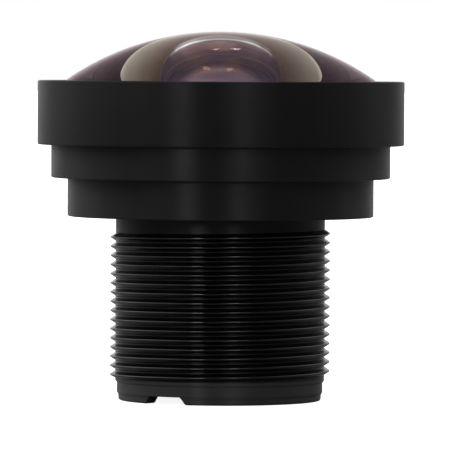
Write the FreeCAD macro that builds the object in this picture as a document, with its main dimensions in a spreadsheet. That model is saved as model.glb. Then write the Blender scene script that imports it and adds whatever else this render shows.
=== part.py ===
import FreeCAD, Part
import math
import os
from collections import namedtuple

import Sketcher

# Board camera lens: a wide-angle, fixed-focus lens in a screw barrel. Millimetres.
# Z is the optical axis, the front glass looks up, and the rear end face stands on Z = 0.
# Every turned piece is a half section, revolved about the axis and placed at its level.
# The levels follow the optical stack from the rear retaining ring up to the front glass,
# so a change of one glass, air gap or spacer moves everything in front of it.

# Driving sizes: alias, value, what it measures

SIZES = [
    # Screw barrel, outside
    ("thread_diameter", 12.0, "major diameter of the M12 x 0.5 mounting thread"),
    ("thread_relief", 0.29, "how far the neck and the tail lie under the thread's crests"),
    ("thread_lead", 0.2, "length of the lead-in cone at each end of the thread"),
    ("neck_length", 0.55, "plain neck between the shoulder and the thread"),
    ("tail_collar", 0.16, "plain collar right behind the thread"),
    ("tail_inset", 0.09, "how much smaller in radius each tail band is than the one above"),
    ("tail_band", 0.52, "height of the tail's upper band"),
    ("end_taper", 0.16, "height of the cone between the tail's two bands"),
    ("end_band", 0.3, "height of the tail's end band"),
    ("end_chamfer", 0.125, "chamfer round the rear end face"),
    ("flange_height", 2.1, "height of the small step above the shoulder"),
    ("body_step_height", 1.8, "height of the barrel's step that shows under the ring"),
    ("flange_inset", 1.65, "how far the small step lies inside the ring's outside"),
    ("spigot_inset", 0.75, "how far the upper step and spigot lie inside the ring's outside"),
    ("edge_break", 0.1, "chamfer on the turned outside edges"),
    # Spanner notches in the rear end face
    ("notch_depth", 0.42, "depth of a notch along the axis"),
    ("notch_mouth", 2.6, "width of a notch at the end face"),
    ("notch_root", 2.0, "width of a notch at its bottom"),
    ("notch_azimuth", 33.0, "angle of the first notch from the front, in degrees"),
    # Bores and seats
    ("barrel_wall", 0.8, "wall of the neck round the middle bore"),
    ("rear_wall", 1.2, "wall of the neck round the rear bore"),
    ("seat_relief", 0.05, "gap under the front glass's plug, which the front spacer carries"),
    ("rib_reach", 1.0, "how far the rib between the bores reaches in from the rear bore"),
    ("retainer_step", 0.1, "how much wider the rear ring's bore is than the rear bore"),
    ("retainer_runout", 0.2, "length of the wide bore past the rear ring's front"),
    ("mouth_chamfer", 0.15, "lead-in chamfer at the mouths of the bores"),
    ("glass_clearance", 0.02, "radial clearance of glass and spacers in their bores"),
    ("screw_clearance", 0.02, "radial clearance of the two screwed rings"),
    ("polish_margin", 0.1, "flat land left on a glass inside the piece that carries it"),
    ("rim_bevel", 0.08, "protective bevel on the rims of glass and spacers"),
    # Front retaining ring and front glass
    ("ring_diameter", 20.0, "outside of the front retaining ring"),
    ("ring_wall", 0.95, "wall of the ring round the front glass"),
    ("ring_engagement", 2.19, "length of the ring that screws over the spigot"),
    ("ring_relief", 0.05, "gap between the ring's inner step and the spigot's face"),
    ("lip_reach", 0.4, "how far the ring's lip reaches over the front glass"),
    ("lip_edge", 0.07, "thickness of the lip at its inner edge"),
    ("lip_gap", 0.01, "gap between the lip's cone and the dome, nearest point"),
    ("front_lens_clearance", 0.05, "radial clearance round the front glass"),
    ("dome_radius", 14.75, "radius of the front dome"),
    ("front_lens_edge", 0.93, "height of the front glass's flange at its rim"),
    ("plug_inset", 2.24, "how far the plug's bore lies inside the front glass's rim"),
    ("plug_length", 2.5, "length of the front glass's plug under its flange"),
    ("front_hollow_depth", 3.7, "depth of the hollow behind the dome"),
    ("hollow_land", 0.29, "flat land between a hollow and the piece that carries the glass"),
    # Front seal
    ("seal_height", 0.65, "height of the squeezed seal and depth of its groove"),
    ("seal_width", 0.9, "width of the squeezed seal"),
    ("seal_round", 0.2, "rounding of the squeezed seal, as a chamfer"),
    ("seal_clearance", 0.05, "side clearance of the seal in its groove"),
    # Front group
    ("front_spacer_wall", 0.89, "wall of the spacer under the front glass"),
    ("front_spacer_length", 0.41, "spacer between the first and second glass"),
    ("second_lens_edge", 1.0, "height of the second glass's rim"),
    ("second_front_radius", 9.0, "front surface of the second glass"),
    ("second_hollow_depth", 1.3, "depth of the hollow behind the second glass"),
    ("baffle_thickness", 0.1, "thickness of the baffle washer"),
    ("second_spacer_length", 0.55, "spacer between the third glass and the baffle"),
    ("group_spacer_wall", 0.6, "wall of the front group's spacers"),
    ("third_lens_edge", 1.0, "height of the third glass's rim"),
    ("third_front_radius", 9.0, "front surface of the third glass"),
    ("third_rear_radius", 14.0, "rear surface of the third glass"),
    ("stop_front_gap", 0.25, "air between the third glass and the aperture stop"),
    ("stop_cone", 1.6, "how far the third spacer's cone narrows towards the stop"),
    # Aperture stop
    ("stop_thickness", 0.1, "thickness of the aperture stop"),
    ("stop_aperture", 2.4, "diameter of the fixed aperture"),
    ("stop_rear_gap", 0.08, "air between the stop and the fourth glass"),
    # Rear group
    ("fourth_lens_edge", 0.9, "height of the fourth glass's rim"),
    ("fourth_front_radius", 14.0, "front surface of the fourth glass"),
    ("fourth_rear_radius", 7.0, "rear surface of the fourth glass"),
    ("rear_spacer_wall", 0.68, "wall of the rear group's spacers"),
    ("doublet_gap", 0.1, "air between the fourth glass and the cemented pair"),
    ("doublet_front_edge", 0.4, "height of the pair's front rim"),
    ("doublet_front_radius", 9.0, "front surface of the pair"),
    ("cement_radius", 7.0, "cemented surface inside the pair"),
    ("doublet_rear_centre", 0.4, "thickness of the pair's rear glass on the axis"),
    ("doublet_rear_radius", 30.0, "rear surface of the pair"),
    ("shim_thickness", 0.1, "thickness of the shim behind the pair"),
    ("rear_gap", 0.19, "air between the pair and the rear glass"),
    ("rear_lens_edge", 0.9, "height of the rear glass's rim"),
    ("rear_front_radius", 8.0, "front surface of the rear glass"),
    ("rear_rear_radius", 14.0, "rear surface of the rear glass"),
    # Rear retaining ring and infrared filter
    ("retainer_recess", 0.6, "how deep the rear ring lies inside the rear end"),
    ("retainer_wall", 1.08, "wall of the rear ring round the rear glass"),
    ("filter_thickness", 0.3, "thickness of the infrared filter"),
    ("filter_sink", 0.15, "how deep the filter lies under the rear ring's face"),
    ("filter_ledge", 0.25, "thickness of the ledge that the filter is glued to"),
    ("filter_ledge_reach", 0.6, "how far that ledge reaches inside the rear ring's bore"),
    ("filter_diameter", 6.6, "diameter of the infrared filter"),
    ("filter_clearance", 0.05, "radial clearance of the filter in its recess"),
    ("filter_gap", 0.28, "air between the filter and the rear glass"),
    ("spanner_slot_width", 0.7, "width of a spanner slot in the rear ring"),
    ("spanner_slot_depth", 0.4, "depth of a spanner slot in the rear ring"),
]

FULL_TURN = 360
NOTCH_COUNT = 2
SAME_PLACE = 1e-7
CUT_MARGIN = 1.0

document = FreeCAD.newDocument("board_camera_lens")


# Lengths that know their expression

class Length:
    """A length in millimetres with the expression that works it out in the document."""

    def __init__(self, value, text):
        self.value = value
        self.text = text

    def __add__(self, other):
        return Length(self.value + other.value, f"({self.text} + {other.text})")

    def __sub__(self, other):
        return Length(self.value - other.value, f"({self.text} - {other.text})")

    def __mul__(self, other):
        return Length(self.value * other.value, f"({self.text} * {other.text})")

    def __truediv__(self, other):
        return Length(self.value / other.value, f"({self.text} / {other.text})")

    def __neg__(self):
        return Length(-self.value, f"(-{self.text})")

    def half(self):
        """Half of this length, as a radius is half of a diameter."""
        return Length(self.value / 2, f"({self.text} / 2)")


def root(squared):
    """Square root of a squared length."""
    return Length(math.sqrt(squared.value), f"sqrt({squared.text})")


def sag(radius, half_width):
    """Height of a spherical cap of this radius over a rim of this half width."""
    return radius - root(radius * radius - half_width * half_width)


ZERO = Length(0.0, "0")


# The sheet of driving sizes and the layout worked out from it

def make_sheet():
    """Write the driving sizes to a sheet and return each one as a Length."""
    sheet = document.addObject("Spreadsheet::Sheet", "Sizes")
    sizes = {}
    for row, (alias, value, note) in enumerate(SIZES, start=1):
        sheet.set(f"A{row}", note)
        sheet.set(f"B{row}", str(value))
        sheet.setAlias(f"B{row}", alias)
        sizes[alias] = Length(value, f"Sizes.{alias}")
    document.recompute()
    return sizes


size = make_sheet()
layout = document.addObject("App::VarSet", "Layout")
layout_values = {}


def derive(name, length, note):
    """Keep a derived length in the document under its own name."""
    layout.addProperty("App::PropertyFloat", name, "Layout", note)
    layout.setExpression(name, length.text)
    layout_values[name] = length.value
    return Length(length.value, f"Layout.{name}")


# Radii, from the thread inwards and from the ring inwards

thread_radius = derive("thread_radius", size["thread_diameter"].half(), "crest of the thread")
neck_radius = derive("neck_radius", thread_radius - size["thread_relief"], "neck and collar")
tail_radius = derive("tail_radius", neck_radius - size["tail_inset"], "tail's upper band")
end_radius = derive("end_radius", tail_radius - size["tail_inset"], "tail's end band")
ring_radius = derive("ring_radius", size["ring_diameter"].half(), "outside of the front ring")
flange_radius = derive("flange_radius", ring_radius - size["flange_inset"], "small step")
spigot_radius = derive("spigot_radius", ring_radius - size["spigot_inset"], "step and spigot")

middle_bore = derive("middle_bore", neck_radius - size["barrel_wall"], "bore of the front group")
rear_bore = derive("rear_bore", neck_radius - size["rear_wall"], "bore of the rear group")
rib_bore = derive("rib_bore", rear_bore - size["rib_reach"], "hole in the rib")
retainer_bore = derive("retainer_bore", rear_bore + size["retainer_step"], "rear ring's bore")

ring_bore = derive("ring_bore", ring_radius - size["ring_wall"], "ring round the front glass")
front_rim = derive("front_rim", ring_bore - size["front_lens_clearance"], "front glass")
front_bore = derive("front_bore", front_rim - size["plug_inset"], "bore of the front plug")
plug_rim = derive("plug_rim", front_bore - size["glass_clearance"], "front glass's plug")
group_rim = derive("group_rim", middle_bore - size["glass_clearance"], "front group's rims")
rear_rim = derive("rear_rim", rear_bore - size["glass_clearance"], "rear group's rims")
retainer_rim = derive("retainer_rim", retainer_bore - size["screw_clearance"], "rear ring")

front_spacer_bore = derive(
    "front_spacer_bore", group_rim - size["front_spacer_wall"], "spacer under the front glass")
group_spacer_bore = derive(
    "group_spacer_bore", group_rim - size["group_spacer_wall"], "front group's spacers")
rear_spacer_bore = derive(
    "rear_spacer_bore", rear_rim - size["rear_spacer_wall"], "rear group's spacers")
retainer_hole = derive("retainer_hole", retainer_rim - size["retainer_wall"], "rear ring's hole")

# Half widths of the polished surfaces

front_hollow = derive("front_hollow", front_spacer_bore - size["hollow_land"], "front hollow")
second_front = derive("second_front", front_spacer_bore - size["polish_margin"], "second glass")
second_hollow = derive("second_hollow", group_spacer_bore - size["hollow_land"], "second hollow")
group_half = derive("group_half", group_spacer_bore - size["polish_margin"], "third glass")
rib_half = derive("rib_half", rib_bore - size["polish_margin"], "fourth glass, front")
rear_half = derive("rear_half", rear_spacer_bore - size["polish_margin"], "rear group's glasses")
exit_half = derive("exit_half", retainer_hole - size["polish_margin"], "rear glass, rear")

# Heights of the curved surfaces over their lands

dome_rise = derive("dome_rise", sag(size["dome_radius"], front_rim), "front dome")
second_rise = derive("second_rise", sag(size["second_front_radius"], second_front), "second glass")
third_rise = derive("third_rise", sag(size["third_front_radius"], group_half), "third, front")
third_drop = derive("third_drop", sag(size["third_rear_radius"], group_half), "third, rear")
fourth_rise = derive("fourth_rise", sag(size["fourth_front_radius"], rib_half), "fourth, front")
fourth_drop = derive("fourth_drop", sag(size["fourth_rear_radius"], rear_half), "fourth, rear")
pair_rise = derive("pair_rise", sag(size["doublet_front_radius"], rear_half), "pair, front")
cement_drop = derive("cement_drop", sag(size["cement_radius"], rear_rim), "cemented surface")
pair_drop = derive("pair_drop", sag(size["doublet_rear_radius"], rear_half), "pair, rear")
rear_rise = derive("rear_rise", sag(size["rear_front_radius"], rear_half), "rear glass, front")
rear_drop = derive("rear_drop", sag(size["rear_rear_radius"], exit_half), "rear glass, rear")

# Heights of spacers, rings and rims that the air gaps and the cement ask for

filter_recess = derive(
    "filter_recess", size["filter_sink"] + size["filter_thickness"], "recess of the filter")
retainer_height = derive(
    "retainer_height", filter_recess + size["filter_gap"] + rear_drop, "rear ring")
fifth_spacer_length = derive(
    "fifth_spacer_length",
    rear_rise + size["rear_gap"] + pair_drop - size["shim_thickness"],
    "spacer between the rear glass and the shim")
fourth_spacer_length = derive(
    "fourth_spacer_length",
    pair_rise + size["doublet_gap"] + fourth_drop,
    "spacer between the pair and the fourth glass")
pair_rear_edge = derive(
    "pair_rear_edge",
    cement_drop + size["doublet_rear_centre"] - pair_drop,
    "rim of the pair's rear glass")
rib_height = derive("rib_height", fourth_rise + size["stop_rear_gap"], "rib between the bores")
third_spacer_length = derive(
    "third_spacer_length",
    size["stop_front_gap"] + third_drop,
    "spacer between the stop and the third glass")

# Levels along the axis, from the rear end up

retainer_level = derive("retainer_level", size["retainer_recess"], "rear ring's rear face")
filter_level = derive("filter_level", retainer_level + size["filter_sink"], "filter's rear face")
rear_lens_level = derive("rear_lens_level", retainer_level + retainer_height, "rear glass")
fifth_spacer_level = derive(
    "fifth_spacer_level", rear_lens_level + size["rear_lens_edge"], "fifth spacer")
shim_level = derive("shim_level", fifth_spacer_level + fifth_spacer_length, "rear shim")
pair_level = derive("pair_level", shim_level + size["shim_thickness"], "rear glass of the pair")
pair_front_level = derive(
    "pair_front_level", pair_level + pair_rear_edge, "front glass of the pair")
fourth_spacer_level = derive(
    "fourth_spacer_level", pair_front_level + size["doublet_front_edge"], "fourth spacer")
fourth_lens_level = derive(
    "fourth_lens_level", fourth_spacer_level + fourth_spacer_length, "fourth glass")
rib_level = derive("rib_level", fourth_lens_level + size["fourth_lens_edge"], "rib's rear face")
stop_level = derive("stop_level", rib_level + rib_height, "rib's front face and the stop")
third_spacer_level = derive(
    "third_spacer_level", stop_level + size["stop_thickness"], "third spacer")
third_lens_level = derive(
    "third_lens_level", third_spacer_level + third_spacer_length, "third glass")
second_spacer_level = derive(
    "second_spacer_level", third_lens_level + size["third_lens_edge"], "second spacer")
baffle_level = derive(
    "baffle_level", second_spacer_level + size["second_spacer_length"], "baffle washer")
second_lens_level = derive(
    "second_lens_level", baffle_level + size["baffle_thickness"], "second glass")
front_spacer_level = derive(
    "front_spacer_level", second_lens_level + size["second_lens_edge"], "front spacer")
front_lens_level = derive(
    "front_lens_level", front_spacer_level + size["front_spacer_length"], "front glass's plug")
seat_level = derive(
    "seat_level", front_lens_level - size["seat_relief"], "step in the bore under the plug")
front_face = derive(
    "front_face", front_lens_level + size["plug_length"], "barrel's front face")
seal_level = derive("seal_level", front_face - size["seal_height"], "floor of the seal's groove")
ring_level = derive("ring_level", front_face - size["ring_engagement"], "ring's rear face")
body_step_level = derive(
    "body_step_level", ring_level - size["body_step_height"], "underside of the upper step")
shoulder = derive("shoulder", body_step_level - size["flange_height"], "shoulder of the barrel")
thread_end = derive("thread_end", shoulder - size["neck_length"], "front end of the thread")
end_band_top = derive("end_band_top", size["end_band"], "top of the tail's end band")
tail_band_base = derive("tail_band_base", end_band_top + size["end_taper"], "upper tail band")
tail_band_top = derive("tail_band_top", tail_band_base + size["tail_band"], "its top")
collar_base = derive("collar_base", tail_band_top + size["tail_inset"], "collar's base")
thread_start = derive("thread_start", collar_base + size["tail_collar"], "rear end of the thread")

# Seal groove, midway between the front bore and the front glass's rim

seal_radius = derive("seal_radius", (front_bore + front_rim).half(), "middle of the seal")
seal_half = derive("seal_half", size["seal_width"].half(), "half the seal's width")
groove_half = derive("groove_half", seal_half + size["seal_clearance"], "half the groove's width")


# Half sections

Corner = namedtuple("Corner", "radius level bevel round", defaults=(None, False))
# bevel is the size of a 45 degree chamfer on the corner.
# round says that an arc centred on the optical axis leads from this corner to the next.


def toward(corner, neighbour, distance):
    """The point that lies a distance from a corner along its straight edge to a neighbour."""
    if abs(corner.radius.value - neighbour.radius.value) > SAME_PLACE:
        outwards = neighbour.radius.value > corner.radius.value
        step = distance if outwards else -distance
        return corner.radius + step, corner.level
    upwards = neighbour.level.value > corner.level.value
    step = distance if upwards else -distance
    return corner.radius, corner.level + step


def bevelled(outline):
    """Replace each corner that has a bevel by the two ends of its chamfer."""
    points = []
    for index, corner in enumerate(outline):
        if corner.bevel is None:
            points.append(corner)
            continue
        before = outline[index - 1]
        after = outline[(index + 1) % len(outline)]
        points.append(Corner(*toward(corner, before, corner.bevel)))
        points.append(Corner(*toward(corner, after, corner.bevel)))
    return points


def flat_point(corner):
    """The corner as a point of the sketch."""
    return FreeCAD.Vector(corner.radius.value, corner.level.value, 0)


def arc_between(start, end):
    """The short arc from start to end whose centre lies on the optical axis."""
    lean = end.x ** 2 - start.x ** 2
    centre_level = (start.y + end.y) / 2 + lean / (2 * (end.y - start.y))
    centre = FreeCAD.Vector(0, centre_level, 0)
    outward = (start + end) / 2 - centre
    outward.normalize()
    return Part.Arc(start, centre + outward * (start - centre).Length, end)


def hold(sketch, kind, edge, place, length, axis):
    """Hold a point of the sketch at a distance from an axis, bound to its expression."""
    if abs(length.value) < SAME_PLACE:
        sketch.addConstraint(Sketcher.Constraint("PointOnObject", edge, place, axis))
    elif length.value > 0:
        index = sketch.addConstraint(
            Sketcher.Constraint(kind, -1, 1, edge, place, length.value))
        sketch.setExpression(f"Constraints[{index}]", length.text)
    else:
        index = sketch.addConstraint(
            Sketcher.Constraint(kind, edge, place, -1, 1, -length.value))
        sketch.setExpression(f"Constraints[{index}]", (-length).text)


def draw(sketch, outline):
    """Draw a closed outline, with every corner held by its radius and its level."""
    points = [flat_point(corner) for corner in outline]
    edges = []
    for index, corner in enumerate(outline):
        start = points[index]
        end = points[(index + 1) % len(points)]
        shape = arc_between(start, end) if corner.round else Part.LineSegment(start, end)
        edges.append(sketch.addGeometry(shape))

    def place_of(edge, point):
        """Which end of an edge lies at a point."""
        first_end = sketch.getPoint(edge, 1)
        return 1 if first_end.distanceToPoint(point) < SAME_PLACE else 2

    for index, corner in enumerate(outline):
        edge = edges[index]
        before = edges[index - 1]
        place = place_of(edge, points[index])
        sketch.addConstraint(Sketcher.Constraint(
            "Coincident", before, place_of(before, points[index]), edge, place))
        hold(sketch, "DistanceX", edge, place, corner.radius, -2)
        hold(sketch, "DistanceY", edge, place, corner.level, -1)
        if corner.round:
            hold(sketch, "DistanceX", edge, 3, ZERO, -2)


def new_sketch(body, name):
    """A sketch on the body's own upright plane, with X across and Y along the axis."""
    sketch = body.newObject("Sketcher::SketchObject", name)
    plane = next(item for item in body.Origin.OriginFeatures if item.Role == "XZ_Plane")
    sketch.AttachmentSupport = [(plane, "")]
    sketch.MapMode = "FlatFace"
    return sketch


def turned(label, level, outline):
    """Turn a half section about the optical axis and stand the piece at its level."""
    body = document.addObject("PartDesign::Body", label)
    body.Label = label
    sketch = new_sketch(body, f"{label}_section")
    draw(sketch, bevelled(outline))
    turn = body.newObject("PartDesign::Revolution", f"{label}_turned")
    turn.Profile = sketch
    turn.ReferenceAxis = (sketch, ["V_Axis"])
    turn.Angle = FULL_TURN
    sketch.Visibility = False
    body.setExpression(".Placement.Base.z", level.text)
    document.recompute()
    return body


def notched(body, name, mouth, foot, depth, reach, azimuth=None):
    """Cut two opposite notches into the rear face of a turned piece, open at the axis."""
    sketch = new_sketch(body, f"{name}_sketch")
    if azimuth is not None:
        sketch.AttachmentOffset = FreeCAD.Placement(
            FreeCAD.Vector(0, 0, 0), FreeCAD.Rotation(FreeCAD.Vector(0, -1, 0), azimuth.value))
        sketch.setExpression("AttachmentOffset.Rotation.Angle", azimuth.text)
    below = -Length(CUT_MARGIN, str(CUT_MARGIN))
    draw(sketch, [
        Corner(-mouth.half(), below),
        Corner(-mouth.half(), ZERO),
        Corner(-foot.half(), depth),
        Corner(foot.half(), depth),
        Corner(mouth.half(), ZERO),
        Corner(mouth.half(), below),
    ])
    before = body.Shape.Volume
    cut = body.newObject("PartDesign::Pocket", name)
    cut.Profile = sketch
    cut.Type = "Length"
    cut.Reversed = True
    cut.setExpression("Length", reach.text)
    document.recompute()
    one_notch = before - body.Shape.Volume
    pattern = body.newObject("PartDesign::PolarPattern", f"{name}_pair")
    pattern.Originals = [cut]
    axis = next(item for item in body.Origin.OriginFeatures if item.Role == "Z_Axis")
    pattern.Axis = (axis, [""])
    pattern.Angle = FULL_TURN
    pattern.Occurrences = NOTCH_COUNT
    body.Tip = pattern
    sketch.Visibility = False
    document.recompute()
    both = before - body.Shape.Volume
    if one_notch <= 0 or abs(both - NOTCH_COUNT * one_notch) > one_notch / 10:
        raise RuntimeError(f"{name}: the notches cut {both:.4f} and not twice {one_notch:.4f}")


# Glass and spacers

def lens(label, level, rim, edge, front, rear, bevel_front=True):
    """A round glass; front and rear are (height of the vertex over its land, half width).

    The rear land lies at the piece's own zero. A hollow has a negative height.
    A half width of None means that the surface runs out to the rim, as in a cemented pair.
    """
    front_height, front_half = front
    rear_height, rear_half_width = rear
    outline = [Corner(ZERO, edge + front_height, round=True)]
    if front_half is not None:
        outline.append(Corner(front_half, edge))
    outline.append(Corner(rim, edge, bevel=size["rim_bevel"] if bevel_front else None))
    if rear_half_width is None:
        outline.append(Corner(rim, ZERO, round=True))
    else:
        outline.append(Corner(rim, ZERO, bevel=size["rim_bevel"]))
        outline.append(Corner(rear_half_width, ZERO, round=True))
    outline.append(Corner(ZERO, -rear_height))
    return turned(label, level, outline)


def front_lens():
    """The domed front glass: a flange over a plug with a deep, almost half round hollow."""
    flange = size["plug_length"]
    rim_top = flange + size["front_lens_edge"]
    turned("front_lens", front_lens_level, [
        Corner(ZERO, rim_top + dome_rise, round=True),
        Corner(front_rim, rim_top),
        Corner(front_rim, flange, bevel=size["rim_bevel"]),
        Corner(plug_rim, flange),
        Corner(plug_rim, ZERO, bevel=size["rim_bevel"]),
        Corner(front_hollow, ZERO, round=True),
        Corner(ZERO, size["front_hollow_depth"]),
    ])


def spacer(label, level, rim, length, bore, front_bore_radius=None):
    """A plain spacer ring, or one whose bore widens from the rear to the front."""
    wide = bore if front_bore_radius is None else front_bore_radius
    bevel = size["rim_bevel"]
    return turned(label, level, [
        Corner(wide, length),
        Corner(rim, length, bevel=bevel),
        Corner(rim, ZERO, bevel=bevel),
        Corner(bore, ZERO),
    ])


def washer(label, level, rim, thickness, bore):
    """A thin flat ring."""
    return turned(label, level, [
        Corner(bore, thickness),
        Corner(rim, thickness),
        Corner(rim, ZERO),
        Corner(bore, ZERO),
    ])


# Barrel

def barrel():
    """The screw barrel: tail, thread, neck, two steps and spigot, with its stepped bore."""
    lead = size["thread_lead"]
    groove_inner = seal_radius - groove_half
    groove_outer = seal_radius + groove_half
    wide_bore_end = rear_lens_level + size["retainer_runout"]
    body = turned("barrel", ZERO, [
        # Tail, from the rear end face up to the thread
        Corner(retainer_bore, ZERO, bevel=size["mouth_chamfer"]),
        Corner(end_radius, ZERO, bevel=size["end_chamfer"]),
        Corner(end_radius, end_band_top),
        Corner(tail_radius, tail_band_base),
        Corner(tail_radius, tail_band_top),
        Corner(neck_radius, collar_base),
        # Thread, as a cylinder over its crests with a lead-in at each end
        Corner(neck_radius, thread_start),
        Corner(thread_radius, thread_start + lead),
        Corner(thread_radius, thread_end - lead),
        Corner(neck_radius, thread_end),
        # Shoulder, small step, upper step and spigot
        Corner(neck_radius, shoulder),
        Corner(flange_radius, shoulder, bevel=size["edge_break"]),
        Corner(flange_radius, body_step_level),
        Corner(spigot_radius, body_step_level, bevel=size["edge_break"]),
        Corner(spigot_radius, front_face, bevel=size["mouth_chamfer"]),
        # Front face with the seal's groove
        Corner(groove_outer, front_face),
        Corner(groove_outer, seal_level),
        Corner(groove_inner, seal_level),
        Corner(groove_inner, front_face),
        # Stepped bore, from the front down
        Corner(front_bore, front_face, bevel=size["mouth_chamfer"]),
        Corner(front_bore, seat_level),
        Corner(middle_bore, seat_level),
        Corner(middle_bore, stop_level),
        Corner(rib_bore, stop_level),
        Corner(rib_bore, rib_level),
        Corner(rear_bore, rib_level),
        Corner(rear_bore, wide_bore_end),
        Corner(retainer_bore, wide_bore_end),
    ])
    notched(body, "tail_notch", size["notch_mouth"], size["notch_root"], size["notch_depth"],
            thread_radius, size["notch_azimuth"])


# Front retaining ring

def front_retaining_ring():
    """The ring that screws over the spigot; its lip follows the dome as a tangent cone."""
    rise_over_ring = front_face - ring_level
    contact = front_rim - size["lip_reach"].half()
    slope = contact / root(size["dome_radius"] * size["dome_radius"] - contact * contact)
    rim_top = rise_over_ring + size["front_lens_edge"]
    contact_level = rim_top + dome_rise - sag(size["dome_radius"], contact) + size["lip_gap"]
    lip_radius = front_rim - size["lip_reach"]
    cone_base = contact_level - slope * (ring_bore - contact)
    cone_top = contact_level + slope * (contact - lip_radius)
    ring_top = derive("ring_height", cone_top + size["lip_edge"], "height of the front ring")
    screw_bore = spigot_radius + size["screw_clearance"]
    screw_bore_end = rise_over_ring + size["ring_relief"]
    turned("front_retaining_ring", ring_level, [
        Corner(lip_radius, ring_top),
        Corner(ring_radius, ring_top, bevel=size["edge_break"]),
        Corner(ring_radius, ZERO, bevel=size["edge_break"]),
        Corner(screw_bore, ZERO, bevel=size["edge_break"]),
        Corner(screw_bore, screw_bore_end),
        Corner(ring_bore, screw_bore_end),
        Corner(ring_bore, cone_base),
        Corner(lip_radius, cone_top),
    ])


# Front seal

def front_seal():
    """The rubber ring in the front face's groove, squeezed flat under the front glass."""
    height = size["seal_height"]
    inner = seal_radius - seal_half
    outer = seal_radius + seal_half
    rounding = size["seal_round"]
    turned("front_seal", seal_level, [
        Corner(inner, height, bevel=rounding),
        Corner(outer, height, bevel=rounding),
        Corner(outer, ZERO, bevel=rounding),
        Corner(inner, ZERO, bevel=rounding),
    ])


# Rear retaining ring and infrared filter

def rear_retaining_ring():
    """The ring behind the rear glass, with the filter's ledge and two spanner slots."""
    filter_hole = size["filter_diameter"].half() + size["filter_clearance"]
    ledge_top = filter_recess + size["filter_ledge"]
    ledge_bore = retainer_hole - size["filter_ledge_reach"]
    bevel = size["rim_bevel"]
    body = turned("rear_retaining_ring", retainer_level, [
        Corner(retainer_hole, retainer_height),
        Corner(retainer_rim, retainer_height, bevel=bevel),
        Corner(retainer_rim, ZERO, bevel=bevel),
        Corner(filter_hole, ZERO),
        Corner(filter_hole, filter_recess),
        Corner(ledge_bore, filter_recess),
        Corner(ledge_bore, ledge_top),
        Corner(retainer_hole, ledge_top),
    ])
    notched(body, "spanner_slot", size["spanner_slot_width"], size["spanner_slot_width"],
            size["spanner_slot_depth"], thread_radius)


def infrared_filter():
    """The flat round filter glued into the rear ring."""
    thickness = size["filter_thickness"]
    rim = size["filter_diameter"].half()
    bevel = size["rim_bevel"]
    turned("infrared_filter", filter_level, [
        Corner(ZERO, thickness),
        Corner(rim, thickness, bevel=bevel),
        Corner(rim, ZERO, bevel=bevel),
        Corner(ZERO, ZERO),
    ])


# The whole lens, from the front glass to the rear

def aperture_stop():
    """The thin disc with the fixed aperture, bevelled to a fine edge at its hole."""
    aperture = size["stop_aperture"].half()
    thickness = size["stop_thickness"]
    turned("aperture_stop", stop_level, [
        Corner(aperture, thickness),
        Corner(group_rim, thickness),
        Corner(group_rim, ZERO),
        Corner(aperture + thickness, ZERO),
    ])


def optical_stack():
    """Every glass, spacer, washer and the stop, from the front to the rear."""
    front_lens()
    spacer("front_spacer", front_spacer_level, group_rim, size["front_spacer_length"],
           front_spacer_bore)
    lens("second_lens", second_lens_level, group_rim, size["second_lens_edge"],
         (second_rise, second_front), (-size["second_hollow_depth"], second_hollow))
    washer("front_baffle", baffle_level, group_rim, size["baffle_thickness"],
           second_hollow + size["polish_margin"])
    spacer("second_spacer", second_spacer_level, group_rim, size["second_spacer_length"],
           group_spacer_bore)
    lens("third_lens", third_lens_level, group_rim, size["third_lens_edge"],
         (third_rise, group_half), (third_drop, group_half))
    spacer("third_spacer", third_spacer_level, group_rim, third_spacer_length,
           group_spacer_bore - size["stop_cone"], group_spacer_bore)
    aperture_stop()
    lens("fourth_lens", fourth_lens_level, rear_rim, size["fourth_lens_edge"],
         (fourth_rise, rib_half), (fourth_drop, rear_half))
    spacer("fourth_spacer", fourth_spacer_level, rear_rim, fourth_spacer_length,
           rear_spacer_bore)
    lens("doublet_front_lens", pair_front_level, rear_rim, size["doublet_front_edge"],
         (pair_rise, rear_half), (cement_drop, None))
    lens("doublet_rear_lens", pair_level, rear_rim, pair_rear_edge,
         (-cement_drop, None), (pair_drop, rear_half), bevel_front=False)
    washer("rear_shim", shim_level, rear_rim, size["shim_thickness"], rear_spacer_bore)
    spacer("fifth_spacer", fifth_spacer_level, rear_rim, fifth_spacer_length,
           rear_spacer_bore)
    lens("rear_lens", rear_lens_level, rear_rim, size["rear_lens_edge"],
         (rear_rise, rear_half), (rear_drop, exit_half))


def check_document():
    """Stop if any object failed, any solid is broken or any derived length differs."""
    for item in document.Objects:
        if "Invalid" in item.State or "Error" in item.State:
            raise RuntimeError(f"{item.Label} failed: {item.State}")
    for name, value in layout_values.items():
        if abs(getattr(layout, name) - value) > SAME_PLACE:
            raise RuntimeError(f"{name} is {getattr(layout, name)} and not {value}")


def write_parts():
    """Check each piece's solid and write it to its own file."""
    os.makedirs("parts", exist_ok=True)
    for body in document.findObjects("PartDesign::Body"):
        shape = body.Shape
        if shape.isNull() or not shape.isValid() or len(shape.Solids) != 1:
            raise RuntimeError(f"{body.Label} is not one valid solid")
        shape.exportStep(f"parts/{body.Label}.step")
        box = shape.BoundBox
        print(f"{body.Label}: {shape.Volume:.3f} mm3, radius {box.XMax:.3f}, "
              f"Z {box.ZMin:.3f} to {box.ZMax:.3f}")


barrel()
front_retaining_ring()
front_seal()
optical_stack()
rear_retaining_ring()
infrared_filter()
document.recompute()
check_document()
write_parts()
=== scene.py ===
"""Wide-angle board camera lens: the looks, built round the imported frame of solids.

The lens stands on its tail at the origin, with its optical axis along +Z.
Sizes are in metres and written in millimetres times MM.
"""

import math
from collections import namedtuple
from contextlib import contextmanager

import bmesh
import bpy
import numpy as np
from bpy.props import FloatProperty, FloatVectorProperty, IntProperty, PointerProperty
from mathutils import Matrix, Vector


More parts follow.
